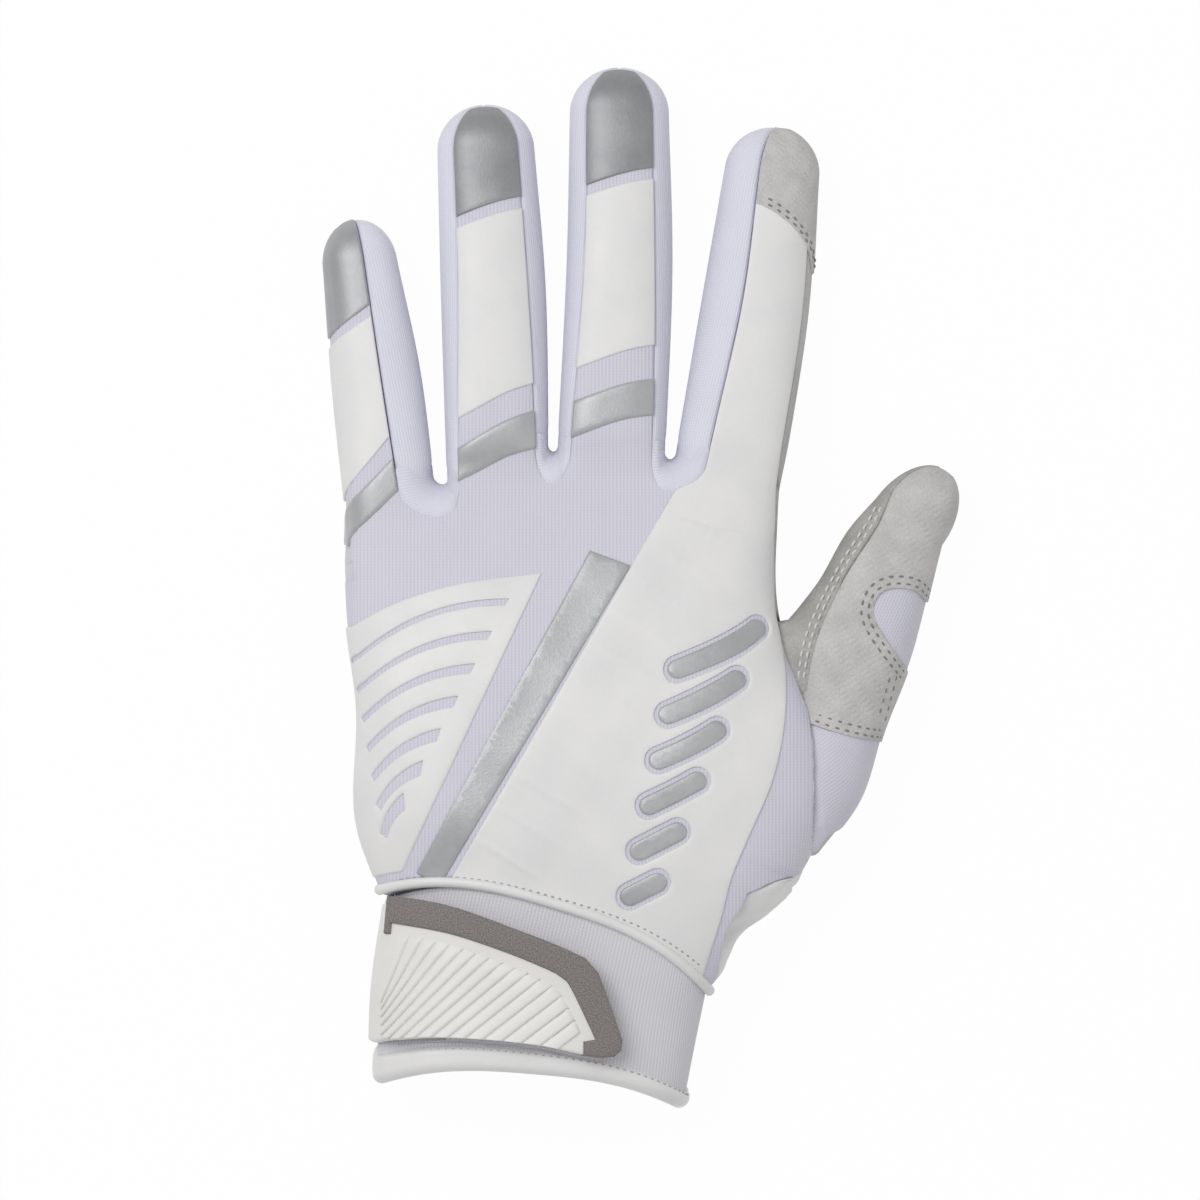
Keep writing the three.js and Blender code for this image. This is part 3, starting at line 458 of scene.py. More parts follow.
def panel(name, place, distance, polar, offsets, finish, rim, sides=ALL_SIDES, uv=None):
    """A sheet over grids of distance and polar angle, between an inner and an outer offset.

    The rim is rounded on the named sides. Texture places run along the sheet, or come from uv.
    """
    inner, outer = (np.broadcast_to(np.asarray(offset, float), distance.shape) for offset in offsets)
    outer = outer - rounding(margins(place(distance, polar, outer), sides), rim)
    face = place(distance, polar, outer)
    across = steps_along(face, 1)
    own = np.stack([across - across[:, [across.shape[1] // 2]], distance], -1)
    cloth = (own if uv is None else uv(face)).reshape(-1, 2)
    points, faces = shell(face, place(distance, polar, inner))
    return add_mesh(name, points, faces, finish, np.concatenate([cloth, cloth]))


def seen_from_above(face):
    """Texture places in plan, so that the knit runs on from the hand to the fingers.

    Down steep sides they keep the length of the cloth.
    """
    sign = np.sign(face[:, [-1], 0] - face[:, [0], 0])
    flat = np.maximum(sign * np.diff(face[..., 0], axis=1), 1e-6)
    whole = np.hypot(flat, np.diff(face[..., 2], axis=1))
    steps = flat + smoothstep(1.2, 1.7, whole / flat) * (whole - flat)
    run = np.concatenate([0 * sign, np.cumsum(sign * steps, axis=1)], axis=1)
    middle = [face.shape[1] // 2]
    return np.stack([run - run[:, middle] + face[:, middle, 0], face[..., 1]], -1)


def inside(loop, points):
    """Which points lie inside a closed loop in the plane."""
    x, y = points[:, 0, None], points[:, 1, None]
    start, end = loop, np.roll(loop, -1, axis=0)
    spans = (start[:, 1] > y) != (end[:, 1] > y)
    rise = np.where(end[:, 1] == start[:, 1], 1e-12, end[:, 1] - start[:, 1])
    cross = start[:, 0] + (y - start[:, 1]) * (end[:, 0] - start[:, 0]) / rise
    return (np.sum(spans & (x < cross), axis=1) % 2).astype(bool)


def gap_to_loops(points, loops):
    """Distance of each point from the nearest edge of the loops, all in the same space."""
    best = np.full(len(points), np.inf)
    for loop in loops:
        run = np.roll(loop, -1, axis=0) - loop
        length = np.maximum(np.sum(run * run, axis=1), 1e-12)
        for first in range(0, len(points), POINTS_AT_ONCE):
            some = slice(first, first + POINTS_AT_ONCE)
            away = points[some, None] - loop
            share = np.einsum("pld,ld->pl", away, run) / length
            away = points[some, None] - (loop + run * np.clip(share, 0, 1)[..., None])
            best[some] = np.minimum(best[some], np.linalg.norm(away, axis=-1).min(axis=1))
    return best


def resample(loop, place, step):
    """The loop with points added, so that none lies further than a step from the next on the surface."""
    dense = []
    for start, end in zip(loop, np.roll(loop, -1, axis=0)):
        reach = np.linalg.norm(place(*end) - place(*start))
        count = max(int(math.ceil(reach / step)), 1)
        dense.extend(start + (end - start) * k / count for k in range(count))
    return np.array(dense)


def stretches(place, line):
    """Millimetres that one unit of distance and one of polar angle span, at places on a surface."""
    nudge = 1e-3
    here = place(*line.T)
    along = np.linalg.norm(place(line[:, 0] + nudge, line[:, 1]) - here, axis=-1) / nudge
    around = np.linalg.norm(place(line[:, 0], line[:, 1] + nudge) - here, axis=-1) / nudge
    return np.maximum(np.stack([along, around], -1), 0.05)


def open_edges(triangles):
    """Edges that belong to one triangle only."""
    edges = {}
    for corners in triangles:
        for a, b in zip(corners, corners[1:] + corners[:1]):
            if edges.pop((b, a), None) is None:
                edges[a, b] = True
    return list(edges)


def fill(place, loops, rim, step):
    """Places that fill an outline around its holes, and the triangles between them.

    Rows of places run beside each edge, so that its rim can be rounded.
    """
    low, high = loops[0].min(axis=0), loops[0].max(axis=0)
    middle = (low + high) / 2
    girth = np.linspace(low[1], high[1], 400)
    arc = steps_along(place(np.full(400, middle[0]), girth)[None], 1)[0]
    stretch = arc[-1] / (high[1] - low[1])
    rows = np.arange(low[0], high[0], step)
    columns = np.interp(np.arange(0, arc[-1], step), arc, girth)
    grid = np.stack(np.meshgrid(rows, columns, indexing="ij"), -1)
    grid[1::2, :, 1] += np.gradient(columns)[None] / 2 if len(columns) > 1 else 0
    grid = grid.reshape(-1, 2)
    solid_loops = [place(*loop.T) for loop in loops]

    def within(points):
        """Which points lie inside the outline and outside its holes."""
        return inside(loops[0], points) & ~np.any([inside(hole, points) for hole in loops[1:]], axis=0)

    def clear(points, reach):
        """Which of these points lie this far from the edges too."""
        return within(points) & (gap_to_loops(place(*points.T), solid_loops) > reach)

    chains = [(loop, np.ones(len(loop), bool)) for loop in loops]
    for loop in loops:
        scale = stretches(place, loop)
        run = (np.roll(loop, -1, axis=0) - np.roll(loop, 1, axis=0)) * scale
        normal = unit(np.stack([-run[:, 1], run[:, 0]], -1))
        for reach in (0.3 * rim, -0.3 * rim, rim, -rim):
            ring = loop + normal * reach / scale
            chains.append((ring, clear(ring, 0.8 * abs(reach))))
    flat, edges, first = [], [], 0
    for line, keep in chains:
        number = first + np.cumsum(keep) - 1
        pairs = keep & np.roll(keep, -1)
        edges += [(int(a), int(b)) for a, b in zip(number[pairs], np.roll(number, -1)[pairs])]
        flat.append(line[keep])
        first += keep.sum()
    flat = np.concatenate(flat + [grid[clear(grid, 1.7 * rim)]])
    aspect = np.array([1.0, stretch])
    found = delaunay_2d_cdt([Vector(p) for p in flat * aspect], edges, [], 0, 1e-7)
    flat = np.array([tuple(p) for p in found[0]]) / aspect
    triangles = np.array([tuple(face) for face in found[2]])
    triangles = triangles[within(flat[triangles].mean(axis=1))]
    used, triangles = np.unique(triangles, return_inverse=True)
    return flat[used], triangles.reshape(-1, 3)


def film(name, place, loops, offsets, finish, rim, step=1.4, relief=None):
    """A film cut to loops of (distance, polar angle): an outline, then its holes.

    Its rim is rounded, and relief adds to its face by distance and polar angle.
    """
    inner, outer = offsets
    loops = [resample(np.asarray(loop, float), place, RIM_STEP) for loop in loops]
    flat, triangles = fill(place, loops, rim, step)
    gap = gap_to_loops(place(*flat.T), [place(*loop.T) for loop in loops])
    lift = outer - rounding(gap, rim)
    if relief is not None:
        lift = lift + relief(*flat.T) * np.clip(gap / (2 * rim), 0, 1)
    top, base = place(*flat.T, lift), place(*flat.T, inner)
    count = len(flat)
    faces = triangles.tolist()
    sides = open_edges(faces)
    faces += [(c + count, b + count, a + count) for a, b, c in faces]
    faces += [(b, a, a + count, b + count) for a, b in sides]
    uv = np.concatenate([top[:, :2], top[:, :2]])
    return add_mesh(name, np.concatenate([top, base]), faces, finish, uv)


def tangents(path):
    """Unit tangents of a path of points."""
    return unit(np.gradient(path, axis=0))


def tube_faces(rings, sides, first=0):
    """Faces of a tube from rings of points, closed by two end points that come after the rings."""
    ring = first + np.arange(rings * sides).reshape(rings, sides)
    after = np.roll(ring, -1, axis=1)
    faces = np.stack([ring[:-1], after[:-1], after[1:], ring[1:]], -1).reshape(-1, 4).tolist()
    tail = first + rings * sides
    faces += [(tail, b, a) for a, b in zip(ring[0].tolist(), after[0].tolist())]
    faces += [(tail + 1, a, b) for a, b in zip(ring[-1].tolist(), after[-1].tolist())]
    return faces


def roll(name, path, normals, sizes, finish, sides=16):
    """A rolled edge: an oval swept along a path, sizes wide and high, with closed round ends."""
    tangent = tangents(path)
    binormal = unit(np.cross(tangent, normals))
    upward = np.cross(binormal, tangent)
    turn = np.linspace(0, 2 * np.pi, sides, endpoint=False)
    run = steps_along(path[None], 1)[0]
    cap = min(sizes)
    taper = np.sqrt(np.clip(1 - np.clip(1 - np.minimum(run, run[-1] - run) / cap, 0, 1) ** 2, 0.02, 1))
    width, height = (size * taper[:, None] for size in sizes)
    ring = path[:, None] + binormal[:, None] * (width * np.cos(turn))[..., None]
    ring = ring + upward[:, None] * (height * np.sin(turn))[..., None]
    points = np.concatenate([ring.reshape(-1, 3), path[:1], path[-1:]])
    uv = np.stack([np.repeat(run, sides), np.tile(turn * cap, len(path))], -1)
    uv = np.concatenate([uv, [[0, 0], [run[-1], 0]]])
    return add_mesh(name, points, tube_faces(len(path), sides), finish, uv)


def stitches(name, path, normals, finish, length, pitch, radius):
    """Thread along a path: one short, sunken-ended stitch after another, as a single mesh."""
    run = steps_along(path[None], 1)[0]
    rings = np.array([-1.0, -0.8, -0.35, 0.35, 0.8, 1.0])
    girth = np.array([0.45, 0.85, 1.0, 1.0, 0.85, 0.45]) * radius
    sink = np.array([-1.1, -0.45, 0.0, 0.0, -0.45, -1.1]) * radius
    sides = 8
    turn = np.linspace(0, 2 * np.pi, sides, endpoint=False)
    points, faces, uv = [], [], []
    for centre in np.arange(pitch / 2, run[-1] - pitch / 2, pitch):
        place = centre + rings * length / 2
        spine = np.stack([np.interp(place, run, path[:, i]) for i in range(3)], -1)
        normal = np.array([np.interp(centre, run, normals[:, i]) for i in range(3)])
        tangent = unit(spine[-1] - spine[0])
        side = unit(np.cross(tangent, normal))
        up = np.cross(side, tangent)
        ring = spine[:, None] + up * sink[:, None, None]
        ring = ring + (girth[:, None] * np.cos(turn))[..., None] * side
        ring = ring + (girth[:, None] * np.sin(turn))[..., None] * up
        ends = spine[[0, -1]] + up * sink[[0, -1], None]
        faces += tube_faces(len(rings), sides, len(points) * (len(rings) * sides + 2))
        points.append(np.concatenate([ring.reshape(-1, 3), ends]))
        uv.append(np.stack([np.repeat(place, sides), np.tile(turn, len(rings))], -1))
        uv.append(np.zeros((2, 2)))
    return add_mesh(name, np.concatenate(points), faces, finish, np.concatenate(uv))


def normals_of(place, distance, polar, offset=0.0):
    """Outward unit normals of a surface at places on it."""
    nudge = 1e-3
    along = place(distance + nudge, polar, offset) - place(distance - nudge, polar, offset)
    around = place(distance, polar + nudge, offset) - place(distance, polar - nudge, offset)
    normal = unit(np.cross(around, along))
    outward = place(distance, polar, offset + 0.5) - place(distance, polar, offset)
    return normal * np.sign(np.sum(normal * outward, axis=-1))[..., None]


# Materials
def tone(red, green, blue):
    """A colour as it looks, from 0 to 255, as the linear one that a shader takes."""
    share = np.array([red, green, blue]) / 255
    linear = np.where(share <= 0.04045, share / 12.92, ((share + 0.055) / 1.055) ** 2.4)
    return (*linear.tolist(), 1.0)


class Finish:
    """A material with one principled shader, and short calls for the nodes that feed it."""

    def __init__(self, name, roughness, **sockets):
        self.material = bpy.data.materials.new(name)
        self.material.use_nodes = True
        self.tree = self.material.node_tree
        self.shader = self.tree.nodes["Principled BSDF"]
        self.shader.inputs["Roughness"].default_value = roughness
        for socket, value in sockets.items():
            self.shader.inputs[socket.replace("_", " ")].default_value = value
        self.place = self.node("ShaderNodeUVMap", uv_map="cloth").outputs["UV"]

    def node(self, kind, links=None, **values):
        """A new node with its values set and its sockets linked."""
        made = self.tree.nodes.new(kind)
        for key, value in values.items():
            if key in made.inputs:
                made.inputs[key].default_value = value
            else:
                setattr(made, key, value)
        for socket, source in (links or {}).items():
            self.tree.links.new(source, made.inputs[socket])
        return made

    def turned(self, degrees):
        """Texture places turned about their origin."""
        rotation = (0.0, 0.0, math.radians(degrees))
        return self.node("ShaderNodeMapping", {"Vector": self.place}, Rotation=rotation).outputs["Vector"]

    def ribs(self, pitch, degrees, wobble=0.0):
        """Bands across the turned direction, a pitch apart in millimetres."""
        links = {"Vector": self.turned(degrees)}
        values = {"Scale": 2 * math.pi / (20 * pitch), "Distortion": wobble, "Detail Scale": 0.6}
        return self.node("ShaderNodeTexWave", links, **values).outputs["Fac"]

    def noise(self, size, detail=2.0):
        """Clouds about this many millimetres across."""
        links = {"Vector": self.place}
        return self.node("ShaderNodeTexNoise", links, Scale=1 / size, Detail=detail).outputs["Fac"]

    def pebbles(self, size):
        """Round grains about this many millimetres across."""
        links = {"Vector": self.place}
        values = {"feature": "SMOOTH_F1", "Scale": 1 / size, "Smoothness": 0.4}
        return self.node("ShaderNodeTexVoronoi", links, **values).outputs["Distance"]

    def creases(self, size):
        """Fine creases between grains of this size, with 0 in a crease."""
        links = {"Vector": self.place}
        cells = self.node("ShaderNodeTexVoronoi", links, feature="DISTANCE_TO_EDGE", Scale=1 / size)
        values = {"interpolation_type": "SMOOTHSTEP", "From Max": 0.22}
        ramp = self.node("ShaderNodeMapRange", {"Value": cells.outputs["Distance"]}, **values)
        return ramp.outputs["Result"]

    def bars(self, pitch, row, degrees):
        """Rows of short bars, as pressed into the leather."""
        links = {0: self.ribs(pitch, degrees, 0.4), 1: self.ribs(row, degrees - 90, 0.4)}
        return self.node("ShaderNodeMath", links, operation="MULTIPLY").outputs["Value"]

    def sum(self, first, second, share):
        """Two heights added, the second by a share."""
        made = self.node("ShaderNodeMath", {0: second, 2: first}, operation="MULTIPLY_ADD")
        made.inputs[1].default_value = share
        return made.outputs["Value"]

    def color(self, factor, low, high, span=(0.0, 1.0)):
        """The base colour, from low to high as a factor goes over a span."""
        ramp = self.node("ShaderNodeValToRGB", {"Fac": factor})
        for element, place, shade in zip(ramp.color_ramp.elements, span, (low, high)):
            element.position = place
            element.color = shade
        self.tree.links.new(ramp.outputs["Color"], self.shader.inputs["Base Color"])

    def bump(self, height, depth, strength=1.0):
        """Relief of this many millimetres."""
        values = {"Strength": strength, "Distance": depth * MM}
        made = self.node("ShaderNodeBump", {"Height": height}, **values)
        self.tree.links.new(made.outputs["Normal"], self.shader.inputs["Normal"])


def knit(name, low, high, pitch, degrees):
    """Fine warp knit: wales a pitch apart, crossed by closer courses, with painted shade in the grooves of
    the weave.
    """
    finish = Finish(name, 0.85, Sheen_Weight=0.4, Sheen_Roughness=0.4, Specular_IOR_Level=0.25)
    wales = finish.ribs(pitch, degrees, 0.25)
    courses = finish.ribs(pitch * 0.8, degrees + 90, 0.25)
    weave_relief_and_shade = finish.sum(wales, courses, 0.35)
    # The tone follows the weave's height, so its grooves get painted shade; the noise clouds are the cloth's
    # own tone.
    finish.color(finish.sum(weave_relief_and_shade, finish.noise(9.0), 0.5), low, high, (0.2, 1.5))
    finish.bump(weave_relief_and_shade, 0.06, 0.7)
    return finish.material


def film_finish(name, low, high, roughness, grain, depth, **sockets):
    """Bonded film with a fine cast grain."""
    finish = Finish(name, roughness, **sockets)
    relief = finish.sum(finish.pebbles(grain), finish.noise(grain / 2), 0.6)
    finish.color(finish.sum(finish.noise(14.0, 3.0), finish.noise(1.1), 0.25), low, high, (0.4, 0.85))
    finish.bump(relief, depth, 0.8)
    return finish.material


def leather_finish(name, low, high):
    """Leather with a cloudy tone and a fine grain whose creases get painted shade, pressed with rows of short
    bars.
    """
    finish = Finish(name, 0.8, Specular_IOR_Level=0.3)
    grains = finish.creases(0.8)
    relief = finish.sum(finish.bars(1.1, 3.4, 60), grains, 0.4)
    # The cloudy tone is the leather's own; the creases between grains are painted darker, as painted shade.
    tone_and_crease_shade = finish.sum(finish.noise(5.0, 5.0), grains, 0.16)
    finish.color(tone_and_crease_shade, low, high, (0.4, 0.85))
    finish.bump(relief, 0.12, 0.8)
    return finish.material


def speckled(name, low, high):
    """Rough cast rubber with a salt-and-pepper tone."""
    finish = Finish(name, 0.7, Specular_IOR_Level=0.3)
    grain = finish.noise(0.28, 3.0)
    finish.color(grain, low, high, (0.35, 0.68))
    finish.bump(grain, 0.06, 0.8)
    return finish.material


SILVER_LOOK = {"roughness": 0.42, "grain": 0.42, "depth": 0.03, "Metallic": 0.3}
KNIT = knit("knit", tone(200, 199, 212), tone(216, 215, 227), 0.72, 0)
# The gussets and webs take a lighter copy of the knit: painted light on the steep sides between the fingers.
GUSSET_PAINTED_LIGHT = knit("gusset_knit_painted_light", tone(213, 213, 226), tone(227, 227, 239), 0.6, 0)
CUFF_KNIT = knit("cuff_knit", tone(200, 199, 204), tone(220, 219, 224), 0.72, 0)
WHITE_FILM = film_finish("white_film", tone(226, 225, 225), tone(234, 233, 232), 0.5, 0.5, 0.012)
SILVER = film_finish("silver_film", tone(172, 173, 175), tone(192, 193, 194), **SILVER_LOOK)
# Darker copies of the silver film for the fingertips: painted shade where the tips curve away from the light,
# a little less of it on the little finger.
LITTLE_TIP_PAINTED_SHADE = film_finish("little_tip", tone(158, 159, 162), tone(178, 179, 181), **SILVER_LOOK)
SILVER_TIP_PAINTED_SHADE = film_finish("silver_tip_painted_shade", tone(141, 142, 145), tone(161, 162, 164), **SILVER_LOOK)
LEATHER = leather_finish("leather", tone(192, 191, 189), tone(210, 208, 206))
# A darker copy of the leather for the thumb's inner band: painted shade on its steep face beside the ridge.
BAND_LEATHER_PAINTED_SHADE = leather_finish("band_leather_painted_shade", tone(168, 166, 163), tone(188, 186, 183))
BINDING = film_finish("white_binding", tone(224, 223, 223), tone(234, 233, 232), 0.42, 0.7, 0.02)
RUBBER = film_finish("white_rubber", tone(227, 226, 223), tone(235, 234, 231), 0.45, 0.4, 0.008)
GREY = speckled("grey_rubber", tone(108, 103, 101), tone(152, 145, 142))
PILE = speckled("pile", tone(168, 166, 172), tone(208, 206, 212))
THREAD = speckled("thread", tone(206, 204, 202), tone(232, 230, 228))
# Grey stitches on the white binding: painted shade of the needle holes.
NEEDLE_HOLE_SHADE = speckled("needle_hole_shade", tone(164, 163, 164), tone(190, 189, 190))
# Dark grey stitches on the leather: painted shade of the needle holes and sunken thread.
STITCH_HOLE_SHADE = speckled("needle_shade", tone(122, 118, 114), tone(150, 146, 142))


# Fingers
KNUCKLE_LINE = [
    (-60, 18), (-46, 19.4), (-36, 20.8), (-27, 22.6), (-23, 24.4), (-19, 27.2), (-15, 29.6),
    (-10, 31.4), (-4, 32.5), (8, 33), (20, 32), (31, 30), (43, 28), (60, 26),
]
KNUCKLE_FADE = (-6.0, 8.0)  # where a finger's skin leaves the hand's surface, along the finger
KNUCKLE_END = 12.0  # how far along a finger the closer rows over its knuckle run
FOLD_REACH = 9.0  # distance behind a finger's root at which the columns across its back are laid out
CROTCHES = {
    ("little", "ring"): (-25.6, 38.2),
    ("ring", "middle"): (-3.4, 44.8),
    ("middle", "index"): (20.6, 43.4),
}
WEB_DEPTH = 5.2  # from the bottom of a gap between fingers back to the seam around it
WEB_ROUND = 5.8  # length over which that seam opens to the fingers' own seams
GAP_ROUND = 1.7  # radius of the bottom of a gap between fingers
WEB_WALL = 0.6
WEB_FOOT = 0.8  # height at which a web ends above the palm
OVERLAY_LEFT = [(-24.6, -41.0), (13.0, 24.0), (17.7, 32.0)]  # left edge of the radial overlay
OVERLAY_CROTCH = (21.6, 38.6)  # where that edge meets the crotch beside the index finger
INDEX_STRIP = (0.6, 1.4)  # palm leather seen beside the index finger's back, at the hand and along the finger
GUSSET_START = -7.0  # where a gusset begins, from its crotch
GUSSET_SINK = 1.6  # how far it starts under the web
GUSSET_SWELL = 0.3  # how far it swells between its seams
PALM_START = -3.0  # where a finger's palm begins, along the finger
PALM_SINK = 2.8  # how far it starts under the hand's palm
FILM_LIFT = (0.02, 0.42)  # inner and outer face of a film, from the surface
FILM_BEND = 1.4  # how far a film's end bows
FILM_INSET = 0.15  # from the edge of the back in to a film's edge
MOST_ACROSS = 0.93  # share of a finger's half width at which its back's edge turns no steeper
TIP_ROWS = np.sin(np.linspace(0, np.pi / 2, 15)[1:])


def knuckle_line(x):
    """Forward place of the line on the hand where the fingers' skins begin."""
    points = np.array(KNUCKLE_LINE, float)
    return np.interp(x, points[:, 0], points[:, 1])


def seam_degrees(tube, inset):
    """The angle of the CAD model at which a seam lies this far inside the finger's edge."""
    half = tube.axes(0.5)[3]
    corner = spline(tube.sizes, np.array(0.5))[1]
    return math.degrees(math.acos((1 - inset / half) ** (corner / 2)))


def finger_skin(tube, aside, fade):
    """Surface of a finger whose back flows into the hand's back behind its fold line."""

    def place(distance, polar, offset=0.0):
        """Points of that surface."""
        distance, polar, offset = grids(distance, polar, offset)
        own = tube.point(distance, polar, offset)
        across = tube.axes(tube.share(distance))[1]
        own[..., :2] += across * aside[..., None]
        far, turn = HAND.locate(own[..., :2])
        turn = np.where((polar > np.pi) | (polar < 0), polar, turn)
        hand = HAND.point(far, turn, offset)
        share = smoothstep(fade, KNUCKLE_FADE[1], distance)[..., None]
        return np.where(share < 1, hand + (own - hand) * share, own)

    return place


def crotch_distance(name, side):
    """How far along a finger the crotch on one side lies, or None at the hand's edges."""
    for pair, crotch in CROTCHES.items():
        if pair[0 if side == "radial" else 1] == name:
            centre, _, forward, _ = TUBES[name].axes(0.0)
            return float((np.array(crotch) - centre) @ forward)
    return None


def back_polar(tube, distance, reach, sign, most=MOST_ACROSS):
    """Polar angles of columns this far to a side of a finger's middle, and how far past its width."""
    half, corner = tube.half(distance), tube.corner(distance)
    ratio = np.clip(reach / half, 0, most)
    polar = np.arctan2((1 - ratio ** corner) ** (1 / corner), sign * ratio)
    return polar, sign * (reach - ratio * half)


class Finger:
    """The grids of one finger: rows along it, and columns around its back, its sides and its palm."""

    def __init__(self, name):
        self.name = name
        self.tube = TUBES[name]
        self.facts = FINGERS[name]
        self.seam = seam_degrees(self.tube, SEAM_INSET)
        self.back_seam = seam_degrees(self.tube, BACK_SEAM_INSET[name])
        self.centre, self.across, self.forward, self.half = self.tube.axes(0.0)
        self.crotch = {side: crotch_distance(name, side) for side in ("radial", "ulnar")}

    def tip_rows(self):
        """Distances over the round tip, closer together towards its end."""
        return self.tube.body + self.tube.tip * TIP_ROWS

    def back_edge(self, distance, side, inset=0.0):
        """How far from the finger's middle its back runs on a side with a gusset, seen from above."""
        half, corner = self.tube.half(distance), self.tube.corner(distance)
        seam = half * np.cos(math.radians(self.back_seam)) ** (2 / corner) - inset
        joined = self.half + FINGER_SIDE_GAP / 2 + 0.4
        open_share = np.clip((distance - self.crotch[side] + WEB_DEPTH) / WEB_ROUND, 0, 1)
        return joined + (seam - joined) * np.sqrt(1 - (1 - open_share) ** 2)

    def fade_start(self, polar, aside):
        """Where each column leaves the hand's surface: later beside a neighbour it is still joined to."""
        column = (np.cos(polar) * self.half + aside) / self.half
        late = np.full(column.shape, KNUCKLE_FADE[0])
        for side, sign in (("radial", 1), ("ulnar", -1)):
            if self.crotch[side] is not None:
                rise = max(self.crotch[side] - WEB_DEPTH - 2 - KNUCKLE_FADE[0], 0)
                late = late + rise * smoothstep(0.3, 0.9, sign * column)
        return late

    def back_columns(self, distance, inset=0.0, count=9, rim=0.08, trim=None):
        """Polar angles across the back, right to left, and how far a point lies past the tube's own width.

        The distances have a row for each step along the finger, and one column or as many as are asked for.
        """
        steps = np.concatenate([np.linspace(0, 1 - rim, count), 1 - rim * np.array([0.55, 0.25, 0.07, 0.0])])
        grid = np.broadcast_to(distance, (len(distance), 2 * len(steps) - 1))
        parts = {"radial": grid[:, len(steps) - 1 :: -1], "ulnar": grid[:, len(steps) - 1 :]}
        found = []
        for side, sign in (("radial", 1), ("ulnar", -1)):
            far = parts[side]
            if side in self.facts["gussets"]:
                reach = self.back_edge(far, side, inset)
                if trim:
                    reach = np.minimum(reach, trim(far))
                found.append(back_polar(self.tube, far, reach * steps, sign))
            elif side == "radial":
                reach = self.tube.half(far) - lerp_pair(INDEX_STRIP, smoothstep(-10, 0, far)) - inset
                found.append(back_polar(self.tube, far, reach * steps, sign, 0.97))
            else:
                edge = self.tube.polar(far, 180 + self.seam) - inset / self.tube.half(far)
                found.append((np.pi / 2 + (edge - np.pi / 2) * steps, np.zeros(far.shape)))
        return [np.concatenate([right[..., ::-1], left[..., 1:]], -1) for right, left in zip(*found)]

    def start_line(self, polar, aside):
        """Distance along the finger at which each column meets the knuckle line."""
        column = self.half * np.cos(polar) + aside
        reach = np.zeros_like(column)
        for _ in range(12):
            plan = self.centre + self.across * column[..., None] + self.forward * reach[..., None]
            reach = reach + (knuckle_line(plan[..., 0]) - plan[..., 1]) / self.forward[1]
        return reach

    def starts(self, *options):
        """Where the columns across the back begin, on the knuckle line."""
        polar, aside = self.back_columns(np.full((1, 1), -FOLD_REACH), *options)
        return self.start_line(polar[0], aside[0])

    def skin(self, polar, aside):
        """Surface of the finger for columns across its back."""
        return finger_skin(self.tube, aside, self.fade_start(polar, aside))

    def ride(self, obj, slot, *nodes):
        """The piece's placement is baked into its mesh, and it stands for its nodes."""
        fold = np.append(self.centre, 0.0)
        forward = np.append(self.forward, 0.0)
        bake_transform(obj)
        if nodes:
            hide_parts(*nodes)


def finger_rows(finger, start):
    """Rows from a start for each column, over the knuckle and along the finger to its tip."""
    shares = np.linspace(0, 1, 48)[:, None]
    rows = start + (KNUCKLE_END - start) * shares
    body = np.linspace(KNUCKLE_END, finger.tube.body, 40)[1:, None] * np.ones_like(start)
    tip = finger.tip_rows()[:, None] * np.ones_like(start)
    return np.concatenate([rows, body, tip])


def finger_back(finger):
    """The knit back of a finger, from the knuckle line over its tip."""
    start = finger.starts(0.0, 14) - 1.0
    distance = finger_rows(finger, start[None])
    polar, aside = finger.back_columns(distance, 0.0, 14)
    place = finger.skin(polar, aside)
    under = 0.05 * smoothstep(0.86, 1.04, -(np.cos(polar) * finger.half + aside) / finger.half)
    tuck = -0.05 * (1 - smoothstep(1.0, 2.5, distance - start)) - under
    rim = np.full(distance.shape, FINGER_RIM)
    middle = distance.shape[1] // 2
    for side, columns in (("radial", slice(0, middle)), ("ulnar", slice(middle, None))):
        if finger.crotch[side] is not None:
            opening = finger.crotch[side] - WEB_DEPTH
            rim[:, columns] *= smoothstep(opening - 0.3, opening + 0.6, distance[:, columns])
    name = f"{finger.name}_knit_back"
    rim = np.maximum(rim, 1e-3)
    obj = panel(name, place, distance, polar, (-WALL, tuck), KNIT, rim, LONG_SIDES, seen_from_above)
    finger.ride(obj, "knit", f"{finger.name}_back")


def finger_gusset(finger, side):
    """The knit strip along a side of a finger, from under the web to the tip."""
    gap = SEAM_GAP_DEG / 2
    crotch = finger.crotch[side]
    start = crotch + GUSSET_START
    body = np.linspace(start, finger.tube.body, 52)
    distance = np.concatenate([body, finger.tip_rows()])[:, None]
    share = spread(14, 0.1)
    limits = (gap - finger.seam, finger.back_seam - gap)
    if side == "ulnar":
        limits = (180 - limits[1], 180 - limits[0])
    polar = finger.tube.between(distance, limits, share)
    distance = distance + 0 * polar
    sunk = -GUSSET_SINK * (1 - smoothstep(crotch - 3, crotch + 5, distance))
    outer = GUSSET_SWELL * np.sin(np.pi * share) - 0.1 + sunk
    name = f"{finger.name}_knit_gusset_{side}"
    offsets = (outer - WALL + 0.1, outer)
    obj = panel(name, finger.tube.point, distance, polar, offsets, GUSSET_PAINTED_LIGHT, HAND_RIM, LONG_SIDES)
    finger.ride(obj, "knit", f"{finger.name}_gusset_{side}")


